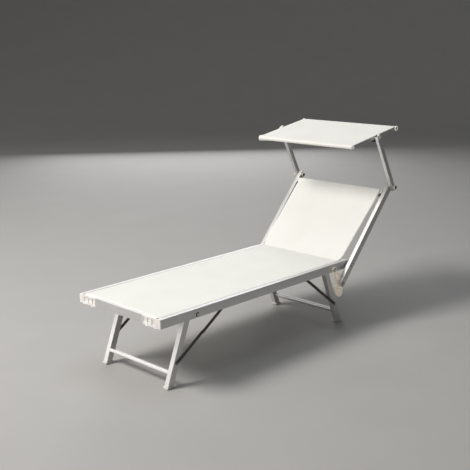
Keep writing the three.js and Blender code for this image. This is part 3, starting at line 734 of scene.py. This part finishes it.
sling_length = along_line(sling_line)
fold_at, hem_at = [
    sling_length[np.argmin(np.linalg.norm(sling_line - corner, axis=1))]
    for corner in (fold_corner, hem_corner)
]
sling_half = np.interp(
    sling_length,
    [fold_at + WIDER_FROM, fold_at + WIDER_TO, hem_at],
    [BED_HALF, BACK_HALF, HEM_HALF],
)


def sling_give(share, station):
    """How far the sling hangs off its line, with soft ripples that run out from the fold"""
    s = sling_length[station]
    if s > hem_at:
        return 0.0
    across = 1 - share * share
    run = s / fold_at if s < fold_at else (s - fold_at) / (hem_at - fold_at)
    near_fold = math.exp(-(((s - fold_at) / RIPPLE_REACH) ** 2))
    ripple = RIPPLE * near_fold * math.sin(share * RIPPLE_WAVES)
    slack = SLACK * math.sin(s * SLACK_WAVES + share * SLACK_SLANT)
    return across * (ripple + slack - SAG * belly(run))


SLING = (sling_line, sling_half, sling_give, SLING_THICKNESS)
sling = add_object("sling", sheet_mesh("sling", SLING, SLING_COLUMNS), "sling_cloth")
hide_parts("bed_sling", "backrest_sling")

# %% [markdown]
# The canopy is a second length of the same mesh. It lies on the two side bars, and each end goes
# round a tube and is sewn back to the sheet, which makes a sleeve. The loop is cut short at the
# side bars, where the bar meets the tube. At the far front corner the cloth has slipped and stands
# off its tube, as the photograph shows.

# %% Draw the line that the canopy follows
CANOPY_PIVOT = side_middle("canopy_knob_left")
CANOPY_TILT = math.radians(TILTS["canopy"])
CANOPY_FRONT, CANOPY_BACK = -0.205, 0.194
WRAP = 10.1 * MM
FLAP = 0.034
SLEEVE_PLACES = 25
# Each place on a flap is a share of its length and a distance below the panel
FLAP_PLACES = [(1.0, 1.6 * MM), (0.6, 2.4 * MM)]


def on_canopy(along, up):
    """The side-view place along the canopy from its pivot and up from its tubes' middle"""
    return np.array(CANOPY_PIVOT.yz) + turned((along, up), CANOPY_TILT)


def sleeve(middle, start, end):
    """Places round a tube from one angle to another, in degrees above the canopy's own line"""
    angles = np.radians(np.linspace(start, end, SLEEVE_PLACES))
    return [on_canopy(middle + WRAP * math.cos(a), WRAP * math.sin(a)) for a in angles]


def flap(tube, way):
    """The end of the cloth under the panel, from its edge towards a tube"""
    return [on_canopy(tube + way * FLAP * share, WRAP - drop) for share, drop in FLAP_PLACES]


panel_ends = [on_canopy(along, WRAP) for along in (CANOPY_FRONT, CANOPY_BACK)]
canopy_line = flap(CANOPY_FRONT, 1) + sleeve(CANOPY_FRONT, 20, -270) + straight(*panel_ends)
canopy_line = np.array(canopy_line + sleeve(CANOPY_BACK, 90, -200)[1:] + flap(CANOPY_BACK, -1)[::-1])
canopy_places = np.array([turned(p - CANOPY_PIVOT.yz, -CANOPY_TILT) for p in canopy_line])

# %% Sew the canopy sheet
CANOPY_HALF, SLEEVE_HALF = 0.3342, 0.3152
CANOPY_THICKNESS = 1.3 * MM
CANOPY_COLUMNS = 55
CANOPY_SAG = 4 * MM
PULL, PULL_WAVES, PULL_SLANT = 0.6 * MM, 19, 4
SLIP, SLIP_FROM, SLIP_REACH = 5 * MM, 0.78, 0.035
PANEL_UP = WRAP - 0.6 * MM
NOTCH, NOTCH_BLUR = 8.6 * MM, 4 * MM

along, up = canopy_places.T
inside = np.minimum(along - CANOPY_FRONT, CANOPY_BACK - along)
free = np.where(up > PANEL_UP, 1.0, np.clip((NOTCH - inside) / NOTCH_BLUR, 0, 1))
canopy_half = SLEEVE_HALF + (CANOPY_HALF - SLEEVE_HALF) * free


def canopy_give(share, station):
    """How far the canopy stands off its line: the panel and the flaps sewn under it hang alike"""
    along, up = canopy_places[station]
    slip = SLIP * max(0.0, -share - SLIP_FROM) / (1 - SLIP_FROM)
    slip *= max(0.0, 1 - max(0.0, along - CANOPY_FRONT) / SLIP_REACH) ** 2
    if up < WRAP / 2 or not CANOPY_FRONT < along < CANOPY_BACK:
        return slip
    run = (along - CANOPY_FRONT) / (CANOPY_BACK - CANOPY_FRONT)
    pull = PULL * math.sin(run * PULL_WAVES + share * PULL_SLANT)
    pull *= (1 - abs(share)) * (1 - (2 * run - 1) ** 2)
    outward = 1 if up > PANEL_UP else -1
    return slip + outward * (pull - CANOPY_SAG * (1 - share**2) * belly(run))


CANOPY = (canopy_line, canopy_half, canopy_give, CANOPY_THICKNESS)
canopy_mesh = sheet_mesh("canopy_sheet", CANOPY, CANOPY_COLUMNS)
canopy_sheet = add_object("canopy_sheet", canopy_mesh, "canopy_cloth")
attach(canopy_sheet, "canopy")
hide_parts("canopy_fabric")

# %% [markdown]
# ## Geometry Nodes for what repeats
# Stitches, bolt heads and grips come in numbers, and each of them sits on something: a seam, the
# end of a pin, a stud. A geometry tree puts one small shape on each point it is given, so a piece
# needs only its points. The tree's sizes are named inputs, and `tree["Radius"]` reads one of them
# inside it. At its end the instances are made real, because an exported model can't hold them, and
# the result is read back as a plain mesh.

# %% Start a geometry tree
MERGE_DISTANCE = 1e-5


class GrowTree(Tree):
    """A geometry tree with named inputs, which sets a shape on each point of a mesh"""

    def __init__(self, name, sizes):
        group = bpy.data.node_groups.new(name, "GeometryNodeTree")
        super().__init__(group)
        for way in ("INPUT", "OUTPUT"):
            group.interface.new_socket("Geometry", in_out=way, socket_type="NodeSocketGeometry")
        for label, value in sizes.items():
            kind = "NodeSocketInt" if isinstance(value, int) else "NodeSocketFloat"
            group.interface.new_socket(label, socket_type=kind).default_value = value
        group.interface.new_socket("Material", socket_type="NodeSocketMaterial")
        self.source = group.nodes.new("NodeGroupInput")

    def __getitem__(self, label):
        return Socket(self, self.source.outputs[label])

    def put_on(self, points, shape, facing):
        """Ends the tree with a shape on each point, turned the way that the point faces"""
        turn = self.add("FunctionNodeAlignRotationToVector", {"axis": "Z"}, Vector=facing)
        laid = self.add("GeometryNodeInstanceOnPoints", Points=points, Instance=shape, Rotation=turn)
        real = self.add("GeometryNodeRealizeInstances", Geometry=laid)
        smooth = self.add("GeometryNodeSetShadeSmooth", Geometry=real)
        painted = self.add("GeometryNodeSetMaterial", Geometry=smooth, Material=self["Material"])
        out = self.tree.nodes.new("NodeGroupOutput")
        self.tree.links.new(painted.output, out.inputs["Geometry"])
        return self.tree

    def put_on_ends(self, shape):
        """Ends the tree with a shape on each point, turned by the point's attribute `facing`"""
        vector = {"data_type": "FLOAT_VECTOR"}
        facing = self.add("GeometryNodeInputNamedAttribute", vector, Name="facing")
        points = self.add("GeometryNodeMeshToPoints", Mesh=self["Geometry"])
        return self.put_on(points, shape, facing)


def grow(name, group, points, finish, slot, **sizes):
    """Runs a geometry tree on a mesh of points and keeps the result as a plain, closed mesh"""
    piece = add_to_scene(name, points)
    modifier = piece.modifiers.new("Grow", "NODES")
    modifier.node_group = group
    sizes["material"] = finishes[finish]
    for item in group.interface.items_tree:
        label = item.name.replace(" ", "_").lower()
        if item.in_out == "INPUT" and label in sizes:
            modifier[item.identifier] = sizes[label]
    bpy.context.view_layer.update()
    grown = piece.evaluated_get(bpy.context.evaluated_depsgraph_get())
    mesh = bpy.data.meshes.new_from_object(grown)
    piece.modifiers.remove(modifier)
    piece.data = mesh
    tidy = bmesh.new()
    tidy.from_mesh(mesh)
    bmesh.ops.remove_doubles(tidy, verts=tidy.verts, dist=MERGE_DISTANCE)
    bmesh.ops.recalc_face_normals(tidy, faces=tidy.faces)
    tidy.to_mesh(mesh)
    tidy.free()
    return piece


def grow_on_ends(name, group, ends, finish, body, slot=None, **sizes):
    """Grows one shape on each end, which is a place and the way it faces, and rides them"""
    points = points_mesh(name, ends[0], facing=ends[1])
    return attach(grow(name, group, points, finish, slot or finish, **sizes), body)


def points_mesh(name, places, edges=(), facing=None):
    """Bare points for a geometry tree, with the way that each one faces"""
    mesh = bpy.data.meshes.new(name)
    mesh.from_pydata([tuple(place) for place in places], list(edges), [])
    if facing is not None:
        attribute = mesh.attributes.new("facing", "FLOAT_VECTOR", "POINT")
        attribute.data.foreach_set("vector", np.array(facing, np.float32).ravel())
    return mesh


print("grow() runs a tree and keeps what it made")

# %% [markdown]
# ### Stitches
# A sewing machine leaves a row of short raised threads, with a dip at each needle hole. The tree
# turns the edges of its input into curves, sets a point every few millimetres and lays one small
# spindle on each, along the seam.

# %% Grow a row of stitches
def stitch_tree():
    tree = GrowTree("Stitches", {"Pitch": 0.0045, "Stitch Length": 0.0034, "Thread Width": 0.0008})
    seam = tree.add("GeometryNodeMeshToCurve", Mesh=tree["Geometry"])
    every = {"mode": "LENGTH"}
    row = tree.add("GeometryNodeCurveToPoints", every, Curve=seam, Length=tree["Pitch"])
    bead = tree.add("GeometryNodeMeshUVSphere", Segments=6, Rings=4, Radius=0.5)
    width, length = tree["Thread Width"], tree["Stitch Length"]
    spindle = tree.add("ShaderNodeCombineXYZ", X=width, Y=width, Z=length)
    thread = tree.add("GeometryNodeTransform", Geometry=bead, Scale=spindle)
    return tree.put_on(row, thread, Socket(tree, row.output.node.outputs["Tangent"]))


def on_sheet(sheet, station, x):
    """A place on the outer face of a sheet"""
    line, half_widths, give, thickness = sheet
    normal = line_normals(line)[station]
    push = give(x / half_widths[station], station) + thickness / 2
    return (x, line[station, 0] + normal[0] * push, line[station, 1] + normal[1] * push)


def seam_mesh(name, seams):
    """Several seams, each a list of places, as one mesh of edges"""
    places, edges = [], []
    for seam in seams:
        first = len(places)
        places += seam
        edges += [(first + k, first + k + 1) for k in range(len(seam) - 1)]
    return points_mesh(name, places, edges)


THREAD_COLOURS = (0.84, 0.83, 0.78, 1), (0.68, 0.66, 0.6, 1)
new_finish(
    "thread", two_tone, {}, *THREAD_COLOURS,
    scale=300, detail=2, rough=0.6, rough_scale=900, rough_range=0.2,
)
stitches = stitch_tree()
print("Stitch tree:", len(stitches.nodes), "nodes")

# %% [markdown]
# The sling has two seams along each side, one on either edge of its hem, a row across the foot end
# and two under the top bar, where the hem is closed. The canopy has two along each side as well,
# and one behind each tube.

# %% Sew the seams
SEAM_INSETS = (0.0045, 0.0195)
SEAM_MARGIN = 0.006
FOOT_SEAM, HEM_SEAMS = 0.019, (0.008, 0.014)
SEAM_START, SEAM_STOP = 0.01, 0.004
ACROSS_PLACES = 40


def seams_along(sheet, stations):
    """Two seams along each edge of a sheet"""
    return [
        [on_sheet(sheet, i, side * (sheet[1][i] - inset)) for i in stations]
        for side in (-1, 1)
        for inset in SEAM_INSETS
    ]


def seam_across(sheet, station):
    reach = sheet[1][station] - SEAM_MARGIN
    return [on_sheet(sheet, station, x) for x in np.linspace(-reach, reach, ACROSS_PLACES)]


beside = [i for i, s in enumerate(sling_length) if SEAM_START < s < hem_at - SEAM_STOP]
sling_seams = seams_along(SLING, beside)
for place in [FOOT_SEAM] + [hem_at - inset for inset in HEM_SEAMS]:
    sling_seams.append(seam_across(SLING, int(np.argmin(abs(sling_length - place)))))
on_top = [i for i, (along, up) in enumerate(canopy_places) if up > PANEL_UP]
canopy_seams = seams_along(CANOPY, on_top)
for place in (CANOPY_FRONT + FLAP - SEAM_MARGIN, CANOPY_BACK - FLAP + SEAM_MARGIN):
    nearest = min(on_top, key=lambda i: abs(canopy_places[i][0] - place))
    canopy_seams.append(seam_across(CANOPY, nearest))
sling_stitches, canopy_stitches = [
    grow(f"{name}_stitches", stitches, seam_mesh(f"{name}_seams", seams), "thread", "fabric")
    for name, seams in (("sling", sling_seams), ("canopy", canopy_seams))
]
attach(canopy_stitches, "canopy")
print("Faces of thread:", len(sling_stitches.data.polygons), len(canopy_stitches.data.polygons))

# %% [markdown]
# ### Bending the sling across the hinge
# The sheet crosses the backrest's hinge. As far as the fold it follows the bed, from 60 mm above
# the fold it follows the backrest, and it turns smoothly in between. The part that bends is above
# the rails, where nothing is in its way. Its stitches do the same.

# %% Bend the sling
BEND_LENGTH = 0.06
BEND_START = (0, *fold)
BEND_END = (0, *on_backrest(FOLD_FORWARD, FOLD_UP + BEND_LENGTH))
for piece in (sling, sling_stitches):
    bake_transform(piece, "bed_frame", "backrest", start=BEND_START, end=BEND_END)
print("Bend over", round(BEND_LENGTH / MM), "mm of cloth")

# %% [markdown]
# ### Domed heads and washers
# A bolt's round head is pressed into a shallow dome, and a thin washer keeps it off the tube. A
# turned shape is a line with a circle on it whose size changes along the line. The size is the
# height of a quarter ellipse, written as `(1 - t ** 2) ** 0.5`. A broad dark plastic washer lies
# under each head on the outside as painted shade: its dark ring round the bright head stands for
# the head's shadow.

# %% Grow domed heads
def head_tree():
    tree = GrowTree("Domed heads", {
        "Head Radius": 0.0076, "Head Height": 0.0022, "Washer Radius": 0.011,
        "Washer Drop": 0.004, "Washer Height": 0.0009, "Sides": 28,
    })
    top = tree.add("ShaderNodeCombineXYZ", Z=tree["Head Height"])
    spine = tree.add("GeometryNodeCurvePrimitiveLine", End=top)
    spine = tree.add("GeometryNodeResampleCurve", Curve=spine, Count=7)
    t = tree.add("GeometryNodeSplineParameter")
    size = tree["Head Radius"] * (1 - t**2) ** 0.5
    ring = tree.add("GeometryNodeCurvePrimitiveCircle", Resolution=tree["Sides"], Radius=1.0)
    curves = {"Curve": spine, "Profile_Curve": ring, "Scale": size}
    dome = tree.add("GeometryNodeCurveToMesh", **curves, Fill_Caps=True)
    round_size = {"Vertices": tree["Sides"], "Radius": tree["Washer Radius"]}
    disc = tree.add("GeometryNodeMeshCylinder", **round_size, Depth=tree["Washer Height"])
    drop = tree.add("ShaderNodeCombineXYZ", Z=tree["Washer Drop"] * -1)
    disc = tree.add("GeometryNodeTransform", Geometry=disc, Translation=drop)
    joined = tree.tree.nodes.new("GeometryNodeJoinGeometry")
    for shape in (dome, disc):
        tree.tree.links.new(shape.output, joined.inputs[0])
    return tree.put_on_ends(Socket(tree, joined.outputs[0]))


def x_range(node):
    low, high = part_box(node)
    return low.x, high.x


def pin_ends(names, outer=True):
    """The outer or inner end of each pin, on its own axis, and the way it faces"""
    places, facing = [], []
    for name in names:
        low, high = x_range(name)
        way = (1 if low + high > 0 else -1) * (1 if outer else -1)
        places.append((high if way > 0 else low, *side_middle(name).yz))
        facing.append((way, 0, 0))
    return places, facing


def moved_in(ends, distance):
    """The same ends, further in along their pins"""
    return [(x - way[0] * distance, y, z) for (x, y, z), way in zip(*ends)], ends[1]


heads = head_tree()
MANY_CORNERS = 8
HEAD_SIZES = ("head_radius", "head_height", "washer_radius", "washer_drop", "washer_height")


def head_piece(name, ends, finish, body, sizes=(), slot=None):
    """Heads on ends, with their HEAD_SIZES in millimetres. A washer's flat faces stay flat"""
    sizes = {label: size * MM for label, size in zip(HEAD_SIZES, sizes)}
    piece = grow_on_ends(name, heads, ends, finish, body, slot, **sizes)
    for face in piece.data.polygons:
        face.use_smooth = len(face.vertices) < MANY_CORNERS


HEAD_HEIGHT = 3.6 * MM
PAINTED_SHADOW_WASHER = (10.8, 1.8, 10.8, 0.0, 0.5)
bolts = both("front_leg_bolt") + both("rear_leg_bolt") + both("backrest_bolt")
bolt_ends, nut_ends = pin_ends(bolts), pin_ends(bolts, outer=False)
tail_ends = pin_ends(both("tail_pin"))
head_piece("bolt_heads", bolt_ends, "steel", "bed_frame")
# The broad dark washers are painted shade: a dark ring for the shadow round each bright head
for name, ends, body in (("bolt", bolt_ends, "bed_frame"), ("tail_pin", tail_ends, "backrest")):
    head_piece(f"{name}_washers", moved_in(ends, HEAD_HEIGHT), "dark_plastic", body, PAINTED_SHADOW_WASHER)
head_piece("bolt_nuts", nut_ends, "steel", "bed_frame", (5.2, 3.0, 9.5, 5.4))
head_piece("tail_pin_heads", tail_ends, "steel", "backrest")
for end in ("front", "rear"):
    rivet_ends = pin_ends(both(f"{end}_leg_rivet"), outer=False)
    body = carrier[f"{end}_leg_rivet_left"]
    head_piece(f"{end}_leg_rivet_heads", rivet_ends, "steel", body, (5.2, 1.6, 5.6, 1.2))
print("Head tree:", len(heads.nodes), "nodes, on", len(bolts), "bolts")

# %% [markdown]
# ### Fluted grips
# A clamping knob is a short plastic drum with flutes for the fingers, and on the arms a dark button
# covers each end of the stud. The drum's shape follows a rule, so the tree starts with a flat
# grid and wraps it round: across the grid runs the angle, along it runs the way from one pole of
# the drum over its side to the other. A sine raised to a small power gives a drum with rounded
# edges, and a cosine of the angle cuts the flutes.

# %% Grow the grips
DRUM_ROUND = 0.3


def grip_tree():
    sizes = {"Radius": 0.0124, "Height": 0.0146, "Flute Depth": 0.11, "Flutes": 9}
    tree = GrowTree("Fluted grips", sizes)
    grid = tree.add("GeometryNodeMeshGrid", Size_X=1.0, Size_Y=1.0, Vertices_X=91, Vertices_Y=21)
    at = tree.add("GeometryNodeInputPosition")
    angle = tree.part(at, "X") * math.tau
    run = (tree.part(at, "Y") + 0.5) * math.pi
    sine, cosine = run.sine(), run.cosine()
    side = tree.maths("MAXIMUM", sine, 0.0)
    flute = 0.5 + (angle * tree["Flutes"]).cosine() * 0.5
    across = tree["Radius"] * side**DRUM_ROUND * (1 - flute * tree["Flute Depth"] * side**2)
    sign, size = tree.maths("SIGN", cosine), tree.maths("ABSOLUTE", cosine)
    height = tree["Height"] * 0.5 * sign * size**DRUM_ROUND
    place = {"X": across * angle.cosine(), "Y": across * angle.sine(), "Z": height}
    place = tree.add("ShaderNodeCombineXYZ", **place)
    drum = tree.add("GeometryNodeSetPosition", Geometry=grid, Position=place)
    drum = tree.add("GeometryNodeMergeByDistance", Geometry=drum, Distance=MERGE_DISTANCE)
    return tree.put_on_ends(drum)


grips = grip_tree()
ARM_GRIP_INSET, CANOPY_GRIP_INSET = 6.8 * MM, 7.2 * MM
for name in both("arm_knob"):
    (outer, ways), (inner, back_ways) = pin_ends([name]), pin_ends([name], outer=False)
    middle, body = moved_in((outer, ways), ARM_GRIP_INSET), carrier[name]
    sizes = {"flute_depth": 0.05, "flutes": 14}
    grow_on_ends(f"{name}_grip", grips, middle, "grey_plastic", body, **sizes)
    button_ends = outer + inner, ways + back_ways
    head_piece(f"{name}_buttons", button_ends, "dark_plastic", body, (8.8, 2.6, 8.8, 0.6, 1.2))
for name in both("canopy_knob"):
    middle = moved_in(pin_ends([name], outer=False), CANOPY_GRIP_INSET)
    sizes = {"radius": 0.0091, "height": 0.0152, "flutes": 7}
    grow_on_ends(f"{name}_grip", grips, middle, "dark_plastic", carrier[name], **sizes)
print("Grip tree:", len(grips.nodes), "nodes")

# %% [markdown]
# ### Discs, plugs and rings on the canopy frame
# A pale disc lies between each arm and its knob, and a dark one between each arm and its canopy
# bar, which is painted shade: it fills that gap with the dark of the shade in it. The canopy's tubes
# are closed with plugs, pale in front and dark at the back. They are turned shapes too, so the same
# tree grows them. Each end of the back sleeve has a thick pale ring that keeps the cloth on its
# tube: a circle swept along a larger circle.

# %% Grow the discs and tube plugs
ARM_DISC, HINGE_SHADE_DISC = (13.8, 1.2, 14.2, 0.6, 1.6), (10.5, 0.6, 11.8, 0.2, 2.4)
FRONT_PLUG, BACK_PLUG = (10.4, 2.4, 7.2, 0.8), (8.6, 0.8, 7.2, 0.8)
ARM_DISC_OUT, HINGE_SHADE_DISC_OUT = 1.2 * MM, 1.9 * MM


def both_sides(x, middle):
    """Places at the same distance left and right of a middle, which face outwards"""
    return [(-x, *middle.yz), (x, *middle.yz)], [(-1, 0, 0), (1, 0, 0)]


def tube_ends(node):
    return both_sides(x_range(node)[1], side_middle(node))


ARM_PIVOT = side_middle("arm_knob_left")
arm_low, arm_high = x_range("canopy_arm_right")
bar_low, bar_high = x_range("canopy_bar_right")
beside_arms = both_sides(arm_high + ARM_DISC_OUT, ARM_PIVOT)
beside_bars = both_sides(bar_high + HINGE_SHADE_DISC_OUT, CANOPY_PIVOT)
front_ends, back_ends = tube_ends("canopy_front_tube"), tube_ends("canopy_back_tube")
head_piece("arm_discs", beside_arms, "grey_plastic", "canopy_arms", ARM_DISC)
# The dark hinge discs are painted shade for the dark gap between each arm and its canopy bar
head_piece("hinge_discs", beside_bars, "dark_plastic", "canopy", HINGE_SHADE_DISC)
head_piece("canopy_front_plugs", front_ends, "sleeve_plastic", "canopy", FRONT_PLUG, "white_plastic")
head_piece("canopy_back_plugs", back_ends, "dark_plastic", "canopy", BACK_PLUG)
print("Arm pivot", [round(v, 4) for v in ARM_PIVOT])

# %% Grow the sleeve rings
RING_OUTSET = 0.0022


def ring_tree():
    tree = GrowTree("Sleeve rings", {"Ring Radius": 0.0108, "Ring Thickness": 0.0031})
    circle = "GeometryNodeCurvePrimitiveCircle"
    middle = tree.add(circle, Resolution=40, Radius=tree["Ring Radius"])
    section = tree.add(circle, Resolution=14, Radius=tree["Ring Thickness"])
    ring = tree.add("GeometryNodeCurveToMesh", Curve=middle, Profile_Curve=section)
    return tree.put_on_ends(ring)


ring_ends = moved_in(back_ends, -RING_OUTSET)
grow_on_ends("sleeve_rings", ring_tree(), ring_ends, "sleeve_plastic", "canopy", "white_plastic")
print("Rings:", len(ring_ends[0]))

# %% [markdown]
# ### Moulded end caps
# Each arm ends in a pale cap that takes the canopy's pivot, and each open tube end has a plug.
# Collars fill the gap between the hem and the side tubes, and a dark block under each canopy bar
# holds its stud. All of them are blocks with rounded corners and crowned ends. Each is made in its
# tube's own axes, with Z along the tube, and its place goes into the mesh.

# %% Mould the end caps
CAP_CORNER, CAP_CORNER_ROUNDS = 3 * MM, 4
CAP_RIM, CAP_RIM_ROUNDS = 1.6 * MM, 3


def tube_axes(pivot, tilt):
    return Matrix.Translation(pivot) @ Matrix.Rotation(math.radians(tilt - 90), 4, "X")


def rise(edge):
    """How far an edge climbs along its tube"""
    return abs(edge.verts[0].co.z - edge.verts[1].co.z)


def end_cap(name, axes, ranges, finish, body):
    """A rounded block whose ranges are (low, high) across, in depth and along its tube"""
    mesh = bmesh.new()
    bmesh.ops.create_cube(mesh, size=1.0)
    for vertex in mesh.verts:
        for axis, (low, high) in enumerate(ranges):
            vertex.co[axis] = high if vertex.co[axis] > 0 else low
    mesh.faces.layers.float.new("worn")
    upright = [edge for edge in mesh.edges if rise(edge) > SAME_POINT]
    soften(mesh, upright, CAP_CORNER, CAP_CORNER_ROUNDS)
    rim = [edge for edge in sharp_edges(mesh) if rise(edge) < SAME_POINT]
    soften(mesh, rim, CAP_RIM, CAP_RIM_ROUNDS)
    mesh.transform(axes)
    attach(bevelled_piece(name, mesh, finish), body)


arm_axes = tube_axes(ARM_PIVOT, TILTS["arm"])
back_axes = tube_axes(PIVOT, TILTS["backrest"])
canopy_axes = tube_axes(CANOPY_PIVOT, TILTS["canopy"])
tube_low, tube_high = x_range("backrest_tube_right")
tube_points = nodes["backrest_tube_right"].data.vertices
tail_end = min((back_axes.inverted() @ point.co).z for point in tube_points)
caps = {
    "arm_cap": (arm_axes, (arm_low - 0.0008, arm_high + 0.001), (-0.0149, 0.0149),
                (0.322, 0.342), "white_plastic", "canopy_arms"),
    "arm_foot_plug": (arm_axes, (arm_low + 0.0002, arm_high - 0.0002), (-0.0138, 0.0138),
                      (-0.0178, -0.0148), "grey_plastic", "canopy_arms"),
    "back_tube_cap": (back_axes, (tube_low - 0.0006, tube_high + 0.0006), (-0.0181, 0.0181),
                      (0.5235, 0.5352), "grey_plastic", "backrest"),
    "back_tube_foot": (back_axes, (tube_low + 0.0002, tube_high - 0.0002), (-0.0172, 0.0172),
                       (tail_end - 0.0029, tail_end + 0.0003), "grey_plastic", "backrest"),
    "top_bar_collar": (back_axes, (HEM_HALF + 0.0004, tube_low - 0.0003), (-0.0194, 0.0094),
                       (0.4585, 0.4866), "grey_plastic", "backrest"),
    "collar_foot": (back_axes, (HEM_HALF + 0.0002, tube_low - 0.0003), (-0.0198, 0.0),
                    (0.4475, 0.4577), "dark_plastic", "backrest"),
    "canopy_hinge_block": (canopy_axes, (bar_low - 0.0002, arm_low - 0.0006), (0.0078, 0.0225),
                           (-0.017, 0.011), "dark_plastic", "canopy"),
}
for name, (axes, (low, high), depth, along, finish, body) in caps.items():
    for side_name, across in (("right", (low, high)), ("left", (-high, -low))):
        end_cap(f"{name}_{side_name}", axes, (across, depth, along), finish, body)
print("Caps:", 2 * len(caps))

# %% [markdown]
# ## The floor
# The lounger stands on a plain pale floor, which catches its shadow and throws light back under
# the sheet. A flat plane would end in a hard horizon. A wide shallow bowl has none, and the camera
# can stand anywhere inside it.

# %% Lay the floor
FLOOR_REACH, BOWL_RISE, BOWL_TURN = 9.0, 6.0, math.radians(80)
FLAT_RINGS, BOWL_RINGS, TURNS = 4, 12, 64
FLOOR_COLOURS = (0.4, 0.395, 0.385, 1), (0.44, 0.435, 0.425, 1)

rings = [(FLOOR_REACH * k / FLAT_RINGS, 0.0) for k in range(1, FLAT_RINGS + 1)]
for k in range(1, BOWL_RINGS + 1):
    angle = BOWL_TURN * k / BOWL_RINGS
    rings.append((FLOOR_REACH + BOWL_RISE * math.sin(angle), BOWL_RISE * (1 - math.cos(angle))))
points = [
    (r * math.cos(math.tau * j / TURNS), r * math.sin(math.tau * j / TURNS), z)
    for r, z in rings
    for j in range(TURNS)
]
faces = [tuple(range(TURNS))]
for i in range(len(rings) - 1):
    inner, outer = i * TURNS, (i + 1) * TURNS
    for j in range(TURNS):
        after = (j + 1) % TURNS
        faces.append((inner + j, outer + j, outer + after, inner + after))
floor_mesh = bpy.data.meshes.new("floor")
floor_mesh.from_pydata(points, [], faces)
floor_mesh.shade_smooth()
floor = add_to_scene("floor", floor_mesh)
new_finish(
    "floor", two_tone, {}, *FLOOR_COLOURS,
    scale=3, detail=4, rough=0.8, rough_scale=30, rough_range=0.1,
)
floor_mesh.materials.append(finishes["floor"])
floor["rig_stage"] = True
print("Floor laid at height 0")

# %% [markdown]
# ## Sizes, and the end
# Both boxes are printed: the CAD model's and the dressed model's. The dressed model has
# to stay as large as the CAD model.

# %% Print the sizes and finish
boxes = {"cad": cad_box, "scene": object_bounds()}
for name, box in boxes.items():
    print(name, [round(high - low, 4) for low, high in zip(*box)])
